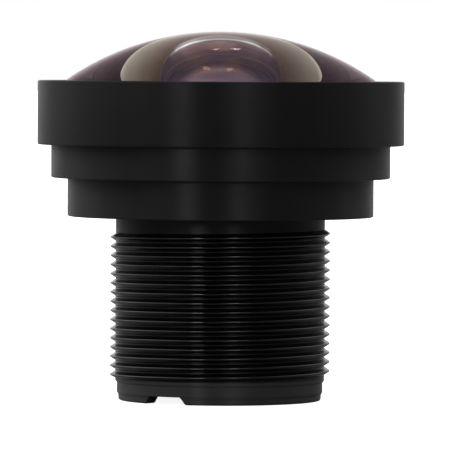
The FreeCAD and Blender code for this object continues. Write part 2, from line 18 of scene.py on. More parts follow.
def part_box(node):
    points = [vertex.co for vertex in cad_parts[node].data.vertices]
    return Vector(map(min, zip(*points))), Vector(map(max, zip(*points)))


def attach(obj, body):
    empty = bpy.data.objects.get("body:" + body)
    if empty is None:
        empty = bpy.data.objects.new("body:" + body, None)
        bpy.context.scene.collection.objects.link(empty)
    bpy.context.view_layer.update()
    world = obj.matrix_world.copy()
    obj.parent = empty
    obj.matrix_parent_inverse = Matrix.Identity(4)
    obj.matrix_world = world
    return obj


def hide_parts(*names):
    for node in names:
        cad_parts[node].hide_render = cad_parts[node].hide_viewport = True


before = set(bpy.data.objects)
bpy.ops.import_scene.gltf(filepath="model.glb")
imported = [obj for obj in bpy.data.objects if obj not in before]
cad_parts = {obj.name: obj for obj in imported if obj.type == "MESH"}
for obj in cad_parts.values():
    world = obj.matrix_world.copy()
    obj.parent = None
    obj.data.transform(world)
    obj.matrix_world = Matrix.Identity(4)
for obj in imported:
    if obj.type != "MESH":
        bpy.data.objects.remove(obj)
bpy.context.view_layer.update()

bl_info = {
    "name": "Board Camera Lens",
    "version": (1, 0, 0),
    "blender": (4, 5, 0),
    "location": "View3D > Sidebar > Board Lens",
    "description": "Builds a wide-angle lens with a domed front glass and an M12 screw barrel",
    "category": "Add Mesh",
}

MM = 0.001
FULL_TURN = 2 * math.pi
WELD = 2e-6


# Property makers

def length(name, description, millimetres):
    """A length property whose default is given in millimetres."""
    return FloatProperty(
        name=name, description=description, default=millimetres * MM, min=0.0,
        unit="LENGTH", precision=5)


def angle(name, description, degrees):
    """An angle property whose default is given in degrees."""
    return FloatProperty(
        name=name, description=description, default=math.radians(degrees), unit="ROTATION")


def number(name, description, value):
    """A plain number."""
    return FloatProperty(name=name, description=description, default=value)


def colour(name, description, red, green, blue):
    """A linear colour."""
    return FloatVectorProperty(
        name=name, description=description, default=(red, green, blue), subtype="COLOR",
        min=0.0, max=1.0)


# Sizes that the frame's boxes don't give

class BarrelSizes(bpy.types.PropertyGroup):
    """Turned outside and stepped bore of the screw barrel."""

    neck_radius: length("Neck radius", "Radius of the neck, the collar and the thread's root", 5.71)
    tail_radius: length("Tail radius", "Radius of the tail's upper band", 5.62)
    end_radius: length("End radius", "Radius of the tail's end band", 5.53)
    end_band: length("End band", "Height of the tail's end band", 0.3)
    end_taper: length("End taper", "Height of the cone over the end band", 0.16)
    tail_band: length("Tail band", "Height of the tail's upper band", 0.52)
    collar_cone: length("Collar cone", "Height of the cone under the collar", 0.09)
    flange_radius: length("Flange radius", "Radius of the small step over the shoulder", 8.35)
    flange_height: length("Flange height", "Height of the small step", 2.1)
    body_step_height: length("Body step height", "Height of the step under the front ring", 1.8)
    rib_bore: length("Rib bore", "Radius of the hole in the rib between the bores", 3.51)
    seat_relief: length("Seat relief", "Gap between the step in the bore and the plug", 0.05)
    bore_clearance: length("Bore clearance", "Radial play of glass and rings in the bores", 0.02)
    groove_inner: length("Seal groove, inside", "Inner radius of the seal's groove", 7.38)
    groove_outer: length("Seal groove, outside", "Outer radius of the seal's groove", 8.38)
    edge: length("Edge", "Rounding of the turned edges", 0.1)
    end_chamfer: length("End edge", "Rounding round the rear end face", 0.125)
    notch_mouth: length("Notch mouth", "Width of a spanner notch at the end face", 2.6)
    notch_root: length("Notch root", "Width of a spanner notch at its bottom", 2.0)
    notch_depth: length("Notch depth", "Depth of a spanner notch", 0.42)
    notch_azimuth: angle("Notch azimuth", "Angle of the first notch from the front", 33.0)


class ThreadSizes(bpy.types.PropertyGroup):
    """The M12 x 0.5 screw thread."""

    crest_radius: length("Crest radius", "Radius over the thread's crests", 6.0)
    pitch: length("Pitch", "Rise of the thread in one turn", 0.5)
    start_level: length("Start level", "Rear end of the thread", 1.23)
    end_level: length("End level", "Front end of the thread", 9.46)
    base_level: length("Base level", "Level of the crest's line at +X, before its first turn", 0.633)
    first_turn: number("First turn", "Turn where the thread rises out of the collar", 1.05)
    last_turn: number("Last turn", "Turn where the thread dies into the neck", 17.45)
    fade_turns: number("Fade", "Turns over which the thread rises and dies", 0.35)
    flat: number("Flats", "Share of the pitch that the crest's flat takes, and the root's", 0.125)
    end_slope: number("End slope", "Steepness of the limit at both ends", 3.0)
    turns: IntProperty(name="Turns", description="Turns of the meshed strip", default=19)
    steps_per_turn: IntProperty(
        name="Steps per turn", description="Columns in a turn", default=160)
    steps_per_pitch: IntProperty(
        name="Steps per pitch", description="Rows in a pitch", default=16)


class GlassSizes(bpy.types.PropertyGroup):
    """Curvature and widths of the glasses."""

    dome_radius: length("Dome radius", "Radius of the front dome", 14.75)
    front_hollow_depth: length("Front hollow depth", "Depth of the hollow behind the dome", 3.7)
    front_hollow: length("Front hollow", "Half width of the hollow behind the dome", 3.71)
    plug_radius: length("Plug radius", "Radius of the plug under the front glass's flange", 6.74)
    second_radius: length("Second radius", "Front surface of the second glass", 9.0)
    second_front: length("Second front", "Half width of the second glass's front", 3.9)
    second_hollow_depth: length("Second hollow depth", "Depth of its hollow", 1.3)
    second_hollow: length("Second hollow", "Half width of its hollow", 4.0)
    third_front_radius: length("Third front radius", "Front surface of the third glass", 9.0)
    third_rear_radius: length("Third rear radius", "Rear surface of the third glass", 14.0)
    group_half: length("Front group", "Half width of the third glass's surfaces", 4.19)
    fourth_front_radius: length("Fourth front radius", "Front of the fourth glass", 14.0)
    fourth_rear_radius: length("Fourth rear radius", "Rear of the fourth glass", 7.0)
    rib_half: length("Rib half", "Half width of the fourth glass's front", 3.41)
    rear_half: length("Rear group", "Half width of the rear group's surfaces", 3.71)
    pair_front_radius: length("Pair front radius", "Front surface of the cemented pair", 9.0)
    cement_radius: length("Cement radius", "Cemented surface of the pair", 7.0)
    pair_rear_radius: length("Pair rear radius", "Rear surface of the pair", 30.0)
    cement_gap: length("Cement gap", "Space that keeps the two cemented faces apart", 0.004)
    rear_front_radius: length("Rear front radius", "Front of the rear glass", 8.0)
    rear_rear_radius: length("Rear rear radius", "Rear of the rear glass", 14.0)
    exit_half: length("Exit half", "Half width of the rear glass's rear", 3.41)
    bevel: length("Bevel", "Protective bevel on the rims", 0.08)


class RingSizes(bpy.types.PropertyGroup):
    """The two screwed rings, the seal and the spacers."""

    screw_bore: length("Screw bore", "Radius of the front ring's screwed bore", 9.27)
    screw_depth: length("Screw depth", "Depth of the front ring's screwed bore", 2.24)
    glass_bore: length("Glass bore", "Radius of the front ring round the glass", 9.05)
    lip_reach: length("Lip reach", "How far the lip reaches over the front glass", 0.4)
    lip_edge: length("Lip edge", "Thickness of the lip at its inner edge", 0.07)
    edge: length("Edge", "Rounding of the front ring's edges", 0.1)
    seal_width: length("Seal width", "Width of the squeezed seal", 0.9)
    rear_hole: length("Rear hole", "Radius of the rear ring's hole", 3.51)
    ledge_bore: length("Ledge bore", "Radius of the hole in the filter's ledge", 2.91)
    filter_seat: length("Filter seat", "Radius of the filter's recess", 3.35)
    filter_recess: length("Filter recess", "Depth of the filter's recess", 0.45)
    ledge: length("Ledge", "Thickness of the filter's ledge", 0.25)
    slot_width: length("Slot width", "Width of a spanner slot in the rear ring", 0.7)
    slot_depth: length("Slot depth", "Depth of a spanner slot in the rear ring", 0.4)
    front_spacer_bore: length("Front spacer bore", "Bore of the front spacer", 4.0)
    group_spacer_bore: length("Group spacer bore", "Bore of the second and third spacers", 4.29)
    stop_side_bore: length("Stop side bore", "Narrow end of the third spacer's cone", 2.69)
    rear_spacer_bore: length("Rear spacer bore", "Bore of the fourth and fifth spacers", 3.81)
    groove_pitch: length("Groove pitch", "Spacing of the light-trap grooves in a spacer", 0.16)
    groove_depth: length("Groove depth", "Depth of a light-trap groove", 0.07)


class FinishColours(bpy.types.PropertyGroup):
    """Colours of the finishes."""

    anodised: colour("Anodised black", "Black anodised aluminium", 0.005, 0.005, 0.0062)
    # The lighter black tints random patches and the convex edges; on the edges it is partly a
    # painted edge highlight.
    anodised_worn: colour("Rubbed black", "Anodised edges, slightly rubbed", 0.012, 0.012, 0.013)
    thread: colour("Thread", "The thread's oily black", 0.001, 0.001, 0.001)
    # The tail's black is paler all over than the barrel's.
    tail: colour("Tail", "The handled tail, a little paler", 0.03, 0.03, 0.0305)
    # The tail's lighter colour does the same on the tail: random patches, and convex edges that are
    # partly a painted edge highlight.
    tail_worn_and_lit: colour("Rubbed tail", "The tail's rubbed edges", 0.05, 0.05, 0.05)
    spacer: colour("Matt black", "Matt black of the spacers", 0.006, 0.006, 0.006)
    rubber: colour("Rubber", "Seal rubber", 0.012, 0.012, 0.012)
    ink: colour("Rim ink", "Black ink on the ground rims of the glass", 0.004, 0.004, 0.004)
    plug_wall: colour("Plug wall", "Ground wall of the front glass's plug", 0.006, 0.005, 0.004)
    plug_land: colour("Plug land", "Ground end of the front glass's plug", 0.06, 0.05, 0.045)
    # The hollow's haze colours below also colour its painted glow. The bright one at a grazing view
    # and the dark one at a steep view are painted light and shade on the haze.
    haze_glow: colour("Haze", "Haze of the hollow's coating, seen at a grazing angle", 0.98, 0.86, 0.69)
    deep_haze_glow: colour("Deep haze", "The same haze, seen steeply", 0.2, 0.115, 0.05)
    veil_glow: colour("Veil", "Faint veil over the middle of the hollow", 1.0, 0.7, 0.8)
    filter: colour("Filter", "Tint of the infrared filter", 0.62, 0.86, 0.88)
    floor: colour("Floor", "Pale floor", 0.86, 0.86, 0.86)


class StageSizes(bpy.types.PropertyGroup):
    """Camera and floor."""

    camera_distance: length("Camera distance", "From the optical axis", 300.0)
    camera_height: length("Camera height", "Over the floor", 18.5)
    aim_height: length("Aim height", "Level in the middle of the picture", 9.55)
    aim_side: length("Aim side", "How far right of the axis the camera aims", 0.25)
    focal_length: number("Focal length", "In millimetres, on a 36 mm sensor", 440.0)
    camera_roll: angle("Camera roll", "Lean of the camera", 0.3)
    floor_radius: length("Floor radius", "Radius of the round floor", 3000.0)


class LensSizes(bpy.types.PropertyGroup):
    """Everything that a user may change."""

    barrel: PointerProperty(type=BarrelSizes)
    thread: PointerProperty(type=ThreadSizes)
    glass: PointerProperty(type=GlassSizes)
    rings: PointerProperty(type=RingSizes)
    finish: PointerProperty(type=FinishColours)
    stage: PointerProperty(type=StageSizes)


# Node trees

class Wires:
    """Adds nodes to a tree and joins their sockets."""

    def __init__(self, tree):
        self.tree = tree

    def add(self, kind, inputs=None, **settings):
        """A node with its settings, and its inputs by name or number."""
        node = self.tree.nodes.new(kind)
        for name, value in settings.items():
            setattr(node, name, value)
        for key, value in (inputs or {}).items():
            self.feed(node.inputs[key], value)
        return node

    def feed(self, socket, value):
        """Link an output to a socket, or set the socket's own value."""
        if isinstance(value, bpy.types.NodeSocket):
            self.tree.links.new(value, socket)
        elif socket.type == "RGBA":
            socket.default_value = (*value, 1.0)
        else:
            socket.default_value = value

    def math(self, operation, *values):
        """The result of a Math node."""
        node = self.add("ShaderNodeMath", dict(enumerate(values)), operation=operation)
        return node.outputs[0]

    def between(self, value, low, high, low_result=0.0, high_result=1.0, smooth=False):
        """Map a value's range to another, held at its ends."""
        node = self.add("ShaderNodeMapRange", {
            "Value": value, "From Min": low, "From Max": high,
            "To Min": low_result, "To Max": high_result})
        node.interpolation_type = "SMOOTHSTEP" if smooth else "LINEAR"
        return node.outputs["Result"]

    def noise(self, place, scale, detail, roughness=0.5):
        """Noise between 0 and 1 at a place."""
        node = self.add("ShaderNodeTexNoise", {
            "Vector": place, "Scale": scale, "Detail": detail, "Roughness": roughness})
        return node.outputs["Fac"]

    def blend(self, share, first, second):
        """A colour between two others."""
        node = self.add("ShaderNodeMix", {0: share, 6: first, 7: second}, data_type="RGBA")
        return node.outputs[2]

    def object_place(self):
        """The place on the object."""
        return self.add("ShaderNodeTexCoord").outputs["Object"]

    def ramp(self, value, stops):
        """Brightness from a value between 0 and 1, by stops of a place and a level."""
        node = self.add("ShaderNodeValToRGB", {0: value})
        elements = node.color_ramp.elements
        while len(elements) < len(stops):
            elements.new(0.5)
        for element, (place, level) in zip(elements, stops):
            element.position = place
            element.color = (level, level, level, 1.0)
        return node.outputs["Color"]

    def finish(self, surface):
        """Feed a material's output from a shader node."""
        self.add("ShaderNodeOutputMaterial", {"Surface": surface.outputs[0]})


# Materials

WHITE = (1.0, 1.0, 1.0)
# Cells to the metre in the patterns of smears, clouds, blotches and specks
SMEAR_SCALE = 350.0
CLOUD_SCALE = 420.0
BLOTCH_SCALE = 600.0
SPECK_SCALE = 9000.0
# Refractive index of the black finishes
BLACK_INDEX = 1.5


def new_material(name):
    """An empty material, and the wires to build it."""
    material = bpy.data.materials.new(name)
    material.use_nodes = True
    material.node_tree.nodes.clear()
    return material, Wires(material.node_tree)


def round_the_axis(wires, place):
    """A place's distance from the optical axis, its level, and its angle round the axis."""
    split = wires.add("ShaderNodeSeparateXYZ", {0: place})
    across = wires.math("MULTIPLY", split.outputs["X"], split.outputs["X"])
    along = wires.math("MULTIPLY", split.outputs["Y"], split.outputs["Y"])
    radius = wires.math("SQRT", wires.math("ADD", across, along))
    turn = wires.math("ARCTAN2", split.outputs["Y"], split.outputs["X"])
    return radius, split.outputs["Z"], turn


def turned_black(name, base, worn_and_lit, roughness, grain_pitch=0.03 * MM, gleam=0.2, smear=1.0):
    """Black anodised metal with the fine rings that turning leaves, and lighter edges, rubbed in
    patches and partly a painted edge highlight.

    gleam is the strength of its reflections, and smear is how much the rings draw them out.
    """
    material, wires = new_material(name)
    place = wires.object_place()
    radius, level, turn = round_the_axis(wires, place)
    rings = wires.add("ShaderNodeCombineXYZ", {
        0: wires.math("DIVIDE", radius, grain_pitch),
        1: wires.math("DIVIDE", level, grain_pitch),
        2: wires.math("MULTIPLY", turn, 0.7)}).outputs[0]
    grain = wires.noise(rings, 1.0, 3.0, 0.6)
    cloud = wires.noise(place, CLOUD_SCALE, 4.0, 0.6)
    speck = wires.noise(place, SPECK_SCALE, 2.0)
    # Painted highlight: the convex edges take the lighter colour in patches, partly as rubbing and
    # partly as a painted edge highlight.
    edge = wires.between(
        wires.add("ShaderNodeNewGeometry").outputs["Pointiness"], 0.52, 0.58, smooth=True)
    lightened = wires.math("MULTIPLY", edge, wires.between(cloud, 0.35, 0.7))
    tint = wires.blend(lightened, base, worn_and_lit)
    shade = wires.blend(wires.between(cloud, 0.3, 0.75, 0.0, 0.35), tint, worn_and_lit)
    gloss = wires.math(
        "ADD", wires.between(cloud, 0.3, 0.7, roughness - 0.03, roughness + 0.03),
        wires.between(grain, 0.2, 0.8, -0.04, 0.04))
    fine = wires.add("ShaderNodeBump", {
        "Strength": 0.35, "Distance": 0.004 * MM, "Height": grain})
    bump = wires.add("ShaderNodeBump", {
        "Strength": 0.08, "Distance": 0.003 * MM, "Height": speck,
        "Normal": fine.outputs[0]})
    around = wires.add("ShaderNodeTangent", direction_type="RADIAL", axis="Z")
    wires.finish(wires.add("ShaderNodeBsdfPrincipled", {
        "Base Color": shade, "Roughness": gloss, "Normal": bump.outputs[0],
        "IOR": BLACK_INDEX, "Specular IOR Level": gleam, "Anisotropic": smear,
        "Anisotropic Rotation": 0.25, "Tangent": around.outputs[0]}))
    return material


def matt_black(name, base, roughness, grain, gleam=0.3):
    """Matt black paint or film with a fine tooth, of so many grains to the metre."""
    material, wires = new_material(name)
    place = wires.object_place()
    tooth = wires.noise(place, grain, 4.0)
    shade = wires.blend(
        wires.between(wires.noise(place, BLOTCH_SCALE, 2.0), 0.3, 0.7),
        [0.7 * part for part in base], [1.4 * part for part in base])
    bump = wires.add("ShaderNodeBump", {
        "Strength": 0.5, "Distance": 0.006 * MM, "Height": tooth})
    wires.finish(wires.add("ShaderNodeBsdfPrincipled", {
        "Base Color": shade, "Normal": bump.outputs[0], "IOR": BLACK_INDEX,
        "Roughness": wires.between(tooth, 0.3, 0.7, roughness - 0.05, roughness + 0.05),
        "Specular IOR Level": gleam}))
    return material


Coat = namedtuple("Coat", "thickness index gleam")
# A glass's thin coating: its thickness in nanometres, and how it colours reflections.


def polish(wires, index, coat, tint=WHITE):
    """The shader of polished and coated glass."""
    smears = wires.noise(wires.object_place(), SMEAR_SCALE, 3.0)
    return wires.add("ShaderNodeBsdfPrincipled", {
        "Base Color": tint, "IOR": index, "Transmission Weight": 1.0,
        "Roughness": wires.between(smears, 0.45, 0.8, 0.0, 0.012),
        "Thin Film Thickness": coat.thickness, "Thin Film IOR": coat.index,
        "Specular Tint": coat.gleam})


def coated_glass(name, index, coat, tint=WHITE):
    """Polished glass under a thin coating."""
    material, wires = new_material(name)
    wires.finish(polish(wires, index, coat, tint))
    return material


# How much of the hollow's surface is haze with a painted glow, at the critical angle, at a grazing
# one and before the critical one, and how strongly that painted glow shines in general and along its
# outline, where it is a painted highlight
HAZE_GLOW_AT_CRITICAL = 0.6
HAZE_GLOW_AT_GRAZING = 0.97
VEIL_GLOW_SHARE = 0.09
INNER_GLOW = 0.14
RIM_GLOW = 0.34


def hazy_glowing_glass(name, index, coat, colours):
    """Polished glass whose inner side shows a faint haze where it reflects all light, with a painted
    glow that is brighter at a grazing view and darker at a steep one.
    """
    material, wires = new_material(name)
    polished = polish(wires, index, coat)
    facing = wires.add("ShaderNodeLayerWeight", {"Blend": 0.5}).outputs["Facing"]
    inside = wires.add("ShaderNodeNewGeometry").outputs["Backfacing"]
    critical = 1 - math.sqrt(1 - 1 / index ** 2)
    grazing = wires.between(facing, critical, 0.95, HAZE_GLOW_AT_CRITICAL, HAZE_GLOW_AT_GRAZING)
    beyond = wires.between(facing, critical + 0.004, critical + 0.014)
    haze_glow_share = wires.math(
        "MAXIMUM", wires.math("MULTIPLY", grazing, beyond), VEIL_GLOW_SHARE)
    # Painted light and shade: the haze turns from its dark steep colour to its bright grazing colour
    # as the view grows more grazing.
    outer = wires.blend(
        wires.between(facing, critical, 0.74), colours.deep_haze_glow, colours.haze_glow)
    shade = wires.blend(beyond, colours.veil_glow, outer)
    scatter = wires.add("ShaderNodeBsdfDiffuse", {"Color": shade})
    # The glow is painted light: an emission that stands for light that scatters to and fro inside
    # the glass.
    glow = wires.add("ShaderNodeEmission", {
        "Color": shade, "Strength": wires.between(facing, 0.7, 0.85, INNER_GLOW, RIM_GLOW)})
    haze_glow = wires.add("ShaderNodeAddShader", {0: scatter.outputs[0], 1: glow.outputs[0]})
    wires.finish(wires.add("ShaderNodeMixShader", {
        0: wires.math("MULTIPLY", haze_glow_share, inside), 1: polished.outputs[0],
        2: haze_glow.outputs[0]}))
    return material


# Turned pieces

Corner = namedtuple("Corner", "radius level soft finish", defaults=(0.0, 0))
# soft is the rounding of the corner, and finish the material of the faces that follow it.

Point = namedtuple("Point", "radius level finish crisp")

CRISP_TURN = math.radians(25)
SOFT_STEPS = 4
UP, DOWN = 1, -1
# Faces round the front pieces, round the inner glasses and rings, and round the small discs
FRONT_SEGMENTS, INNER_SEGMENTS, SMALL_SEGMENTS = 256, 160, 128


def turn_at(before, here, after):
    """Angle by which an outline turns at a point."""
    first = math.atan2(here.level - before.level, here.radius - before.radius)
    second = math.atan2(after.level - here.level, after.radius - here.radius)
    return abs((second - first + math.pi) % FULL_TURN - math.pi)


def rounded(corners, closed):
    """Replace each soft corner by a small arc, and mark the crisp ones."""
    points = []
    last = len(corners) - 1
    for index, here in enumerate(corners):
        before = corners[index - 1]
        after = corners[(index + 1) % len(corners)]
        inside = closed or 0 < index < last
        if not inside or here.soft == 0.0:
            crisp = inside and turn_at(before, here, after) > CRISP_TURN
            points.append(Point(here.radius, here.level, here.finish, crisp))
            continue
        corner = Vector((here.radius, here.level))
        back = (Vector((before.radius, before.level)) - corner).normalized()
        ahead = (Vector((after.radius, after.level)) - corner).normalized()
        half = back.angle(ahead) / 2
        centre = corner + (back + ahead).normalized() * (here.soft / math.cos(half))
        start = corner + back * here.soft - centre
        end = corner + ahead * here.soft - centre
        sweep = start.angle_signed(end)
        for step in range(SOFT_STEPS + 1):
            spoke = start.copy()
            spoke.rotate(Matrix.Rotation(-sweep * step / SOFT_STEPS, 2))
            place = centre + spoke
            finish = here.finish if step == SOFT_STEPS else before.finish
            points.append(Point(place.x, place.y, finish, False))
    return points


def cap(radius, half_width, vertex, bulge, finish, steps=32):
    """Corners of a spherical surface that bulges up or down, from the axis to its half width."""
    reach = math.asin(half_width / radius)
    corners = []
    for step in range(steps + 1):
        spread = reach * step / steps
        drop = radius * (1 - math.cos(spread))
        corners.append(Corner(radius * math.sin(spread), vertex - bulge * drop, 0.0, finish))
    return corners


def sag(radius, half_width):
    """Height of a spherical cap over its rim."""
    return radius - math.sqrt(radius * radius - half_width * half_width)


def sphere_through(depth, half_width):
    """Radius of a sphere whose cap has this depth and half width."""
    return (half_width * half_width + depth * depth) / (2 * depth)


def swept_area(points):
    """Signed area that an outline encloses with the axis, positive if it runs anticlockwise."""
    area = 0.0
    for here, after in zip(points, points[1:] + points[:1]):
        area += here.radius * after.level - after.radius * here.level
    return area


def mark_crisp(mesh, owners, points):
    """Make the edges crisp that run round a crisp point; owners holds each vertex's point."""
    crisp = np.array([point.crisp for point in points])
    ends = np.zeros(len(mesh.edges) * 2, np.int32)
    mesh.edges.foreach_get("vertices", ends)
    first, second = np.array(owners)[ends.reshape(-1, 2).T]
    sharp = (first == second) & crisp[first]
    mesh.attributes.new("sharp_edge", "BOOLEAN", "EDGE").data.foreach_set("value", sharp)


def turn(name, corners, segments, closed=False):
    """Turn an outline about the optical axis into a mesh with outward faces."""
    points = rounded(corners, closed)
    vertices = []
    owners = []
    rings = []
    for index, point in enumerate(points):
        at_axis = point.radius < WELD
        count = 1 if at_axis else segments
        radius = 0.0 if at_axis else point.radius
        rings.append(range(len(vertices), len(vertices) + count))
        owners += [index] * count
        for step in range(count):
            around = FULL_TURN * step / segments
            vertices.append((radius * math.cos(around), radius * math.sin(around), point.level))
    faces = []
    finishes = []
    for index in range(len(points) if closed else len(points) - 1):
        lower = rings[index]
        upper = rings[(index + 1) % len(points)]
        for step in range(segments):
            following = (step + 1) % segments
            square = (
                lower[step % len(lower)], lower[following % len(lower)],
                upper[following % len(upper)], upper[step % len(upper)])
            # At the axis two corners are the same, which leaves a triangle.
            faces.append(tuple(dict.fromkeys(square)))
            finishes.append(points[index].finish)
    if swept_area(points) < 0:
        faces = [face[::-1] for face in faces]
    mesh = bpy.data.meshes.new(name)
    mesh.from_pydata(vertices, [], faces)
    mesh.polygons.foreach_set("material_index", finishes)
    mesh.shade_smooth()
    mark_crisp(mesh, owners, points)
    mesh.update()
    return mesh


def add_object(name, data):
    """A new object in the scene."""
    item = bpy.data.objects.new(name, data)
    bpy.context.scene.collection.objects.link(item)
    return item


def piece(name, mesh, materials, node):
    """An object that stands for a node of the frame and rides with it."""
    item = add_object(name, mesh)
    for material in materials:
        mesh.materials.append(material)
    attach(item, "root")
    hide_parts(node)


def evaluated_mesh(item):
    """The object's mesh with its modifiers applied."""
    graph = bpy.context.evaluated_depsgraph_get()
    graph.update()
    return bpy.data.meshes.new_from_object(item.evaluated_get(graph))


@contextmanager
def edited(mesh):
    """A mesh opened for editing, and written back at the end."""
    shape = bmesh.new()
    shape.from_mesh(mesh)
    yield shape
    shape.to_mesh(mesh)
    shape.free()


def through_prism(width, top_width, depth, azimuth, reach):
    """A prism that cuts two opposite notches into a rear face at this level and below."""
    below = -1.0 * MM
    section = [
        (-width / 2, below), (width / 2, below), (width / 2, 0.0),
        (top_width / 2, depth), (-top_width / 2, depth), (-width / 2, 0.0)]
    outward = Vector((-math.sin(azimuth), -math.cos(azimuth), 0.0))
    across = Vector((0.0, 0.0, 1.0)).cross(outward)
    vertices = []
    for side in (-reach, reach):
        for offset, level in section:
            place = outward * side + across * offset
            vertices.append((place.x, place.y, level))
    count = len(section)
    faces = [tuple(range(count)), tuple(range(2 * count - 1, count - 1, -1))]
    for step in range(count):
        following = (step + 1) % count
        faces.append((following, step, step + count, following + count))
    mesh = bpy.data.meshes.new("cutter")
    mesh.from_pydata(vertices, [], faces)
    with edited(mesh) as shape:
        bmesh.ops.recalc_face_normals(shape, faces=shape.faces)
    return mesh


def cut(mesh, cutter, level=0.0):
    """The mesh less the cutter, which is lifted to its level first."""
    cutter.transform(Matrix.Translation((0.0, 0.0, level)))
    whole = add_object("whole", mesh)
    tool = add_object("tool", cutter)
    modifier = whole.modifiers.new("notches", "BOOLEAN")
    modifier.operation = "DIFFERENCE"
    modifier.solver = "EXACT"
    modifier.object = tool
    result = evaluated_mesh(whole)
    for item in (whole, tool):
        bpy.data.objects.remove(item)
    return result


def sharpen(mesh, lowest, highest):
    """Make edges crisp that turn sharply, in a band of levels."""
    with edited(mesh) as shape:
        for edge in shape.edges:
            levels = [vertex.co.z for vertex in edge.verts]
            in_band = min(levels) > lowest - WELD and max(levels) < highest + WELD
            if in_band and len(edge.link_faces) == 2 and edge.calc_face_angle() > CRISP_TURN:
                edge.smooth = False


def check_closed(mesh, name):
    """Stop if the mesh has an open or a forked edge."""
    shape = bmesh.new()
    shape.from_mesh(mesh)
    broken = [edge for edge in shape.edges if len(edge.link_faces) != 2]
    shape.free()
    if broken:
        raise RuntimeError(f"{name} has {len(broken)} open or forked edges")


# Screw thread

SOCKETS = {
    float: "NodeSocketFloat", int: "NodeSocketInt", bpy.types.Material: "NodeSocketMaterial"}


def thread_tree(values):
    """Geometry Nodes tree that winds one pitch of thread into a helix.

    It has an input for each of the values, of the value's own kind. Its strip has the
    crest on both edges and the root along its middle.
    """
    tree = bpy.data.node_groups.new("screw_thread", "GeometryNodeTree")
    for name, value in values.items():
        tree.interface.new_socket(name=name, in_out="INPUT", socket_type=SOCKETS[type(value)])
    tree.interface.new_socket(name="Thread", in_out="OUTPUT", socket_type="NodeSocketGeometry")
    wires = Wires(tree)
    given = wires.add("NodeGroupInput").outputs
    columns = wires.math("MULTIPLY_ADD", given["turns"], given["steps_per_turn"], 1.0)
    rows = wires.math("ADD", given["steps_per_pitch"], 1.0)
    strip = wires.add("GeometryNodeMeshGrid", {
        "Size X": 1.0, "Size Y": 1.0, "Vertices X": columns, "Vertices Y": rows})
    place = wires.add("ShaderNodeSeparateXYZ", {
        0: wires.add("GeometryNodeInputPosition").outputs[0]})
    along = wires.math("ADD", place.outputs["X"], 0.5)
    phase = wires.math("ADD", place.outputs["Y"], 0.5)
    turn_count = wires.math("MULTIPLY", along, given["turns"])
    rise = wires.math("MULTIPLY", wires.math("ADD", turn_count, phase), given["pitch"])
    level = wires.add("ShaderNodeClamp", {
        "Value": wires.math("ADD", rise, given["base_level"]),
        "Min": given["start_level"], "Max": given["end_level"]}).outputs[0]
    from_root = wires.math("ABSOLUTE", wires.math("MULTIPLY_ADD", phase, 2.0, -1.0))
    profile = wires.between(
        from_root, given["flat"], wires.math("SUBTRACT", 1.0, given["flat"]))
    crest_turn = wires.math("ADD", turn_count, wires.math("GREATER_THAN", phase, 0.5))
    rising = wires.between(
        crest_turn, given["first_turn"],
        wires.math("ADD", given["first_turn"], given["fade_turns"]))
    dying = wires.between(
        crest_turn, given["last_turn"],
        wires.math("SUBTRACT", given["last_turn"], given["fade_turns"]))
    depth = wires.math("SUBTRACT", given["crest_radius"], given["root_radius"])
    height = wires.math(
        "MULTIPLY", wires.math("MULTIPLY", profile, depth), wires.math("MULTIPLY", rising, dying))
    over_start = wires.math(
        "MULTIPLY", wires.math("SUBTRACT", level, given["start_level"]), given["end_slope"])
    under_end = wires.math(
        "MULTIPLY", wires.math("SUBTRACT", given["end_level"], level), given["end_slope"])
    height = wires.math("MINIMUM", height, wires.math("MINIMUM", over_start, under_end))
    radius = wires.math("ADD", given["root_radius"], height)
    around = wires.math("MULTIPLY", wires.math("FRACT", turn_count), FULL_TURN)
    wound = wires.add("ShaderNodeCombineXYZ", {
        0: wires.math("MULTIPLY", radius, wires.math("COSINE", around)),
        1: wires.math("MULTIPLY", radius, wires.math("SINE", around)),
        2: level}).outputs[0]
    moved = wires.add("GeometryNodeSetPosition", {
        "Geometry": strip.outputs["Mesh"], "Position": wound})
    welded = wires.add("GeometryNodeMergeByDistance", {
        "Geometry": moved.outputs[0], "Distance": WELD})
    smooth = wires.add("GeometryNodeSetShadeSmooth", {"Geometry": welded.outputs[0]})
    real = wires.add("GeometryNodeRealizeInstances", {"Geometry": smooth.outputs[0]})
    finished = wires.add("GeometryNodeSetMaterial", {
        "Geometry": real.outputs[0], "Material": given["finish"]})
    wires.add("NodeGroupOutput", {0: finished.outputs[0]})
    return tree


def at_column(level, sizes):
    """The nearest level at which a column of the thread's strip has a point."""
    step = sizes.pitch / sizes.steps_per_turn
    return sizes.base_level + round((level - sizes.base_level) / step) * step


def thread_mesh(sizes, root_radius, finish):
    """The screw thread as a plain mesh, open at both ends."""
    values = {name: getattr(sizes, name) for name in ThreadSizes.__annotations__}
    values.update(
        root_radius=root_radius, finish=finish,
        start_level=at_column(sizes.start_level, sizes),
        end_level=at_column(sizes.end_level, sizes))
    carrier = add_object("thread", bpy.data.meshes.new("thread"))
    modifier = carrier.modifiers.new("thread", "NODES")
    modifier.node_group = thread_tree(values)
    for item in modifier.node_group.interface.items_tree:
        if item.in_out == "INPUT":
            modifier[item.identifier] = values[item.name]
    mesh = evaluated_mesh(carrier)
    bpy.data.objects.remove(carrier)
    return mesh


def joined(meshes):
    """Several meshes as one, welded where they meet."""
    shape = bmesh.new()
    for mesh in meshes:
        shape.from_mesh(mesh)
    bmesh.ops.remove_doubles(shape, verts=shape.verts, dist=WELD)
    bmesh.ops.recalc_face_normals(shape, faces=shape.faces)
    result = bpy.data.meshes.new("joined")
    shape.to_mesh(result)
    shape.free()
    return result


# Barrel

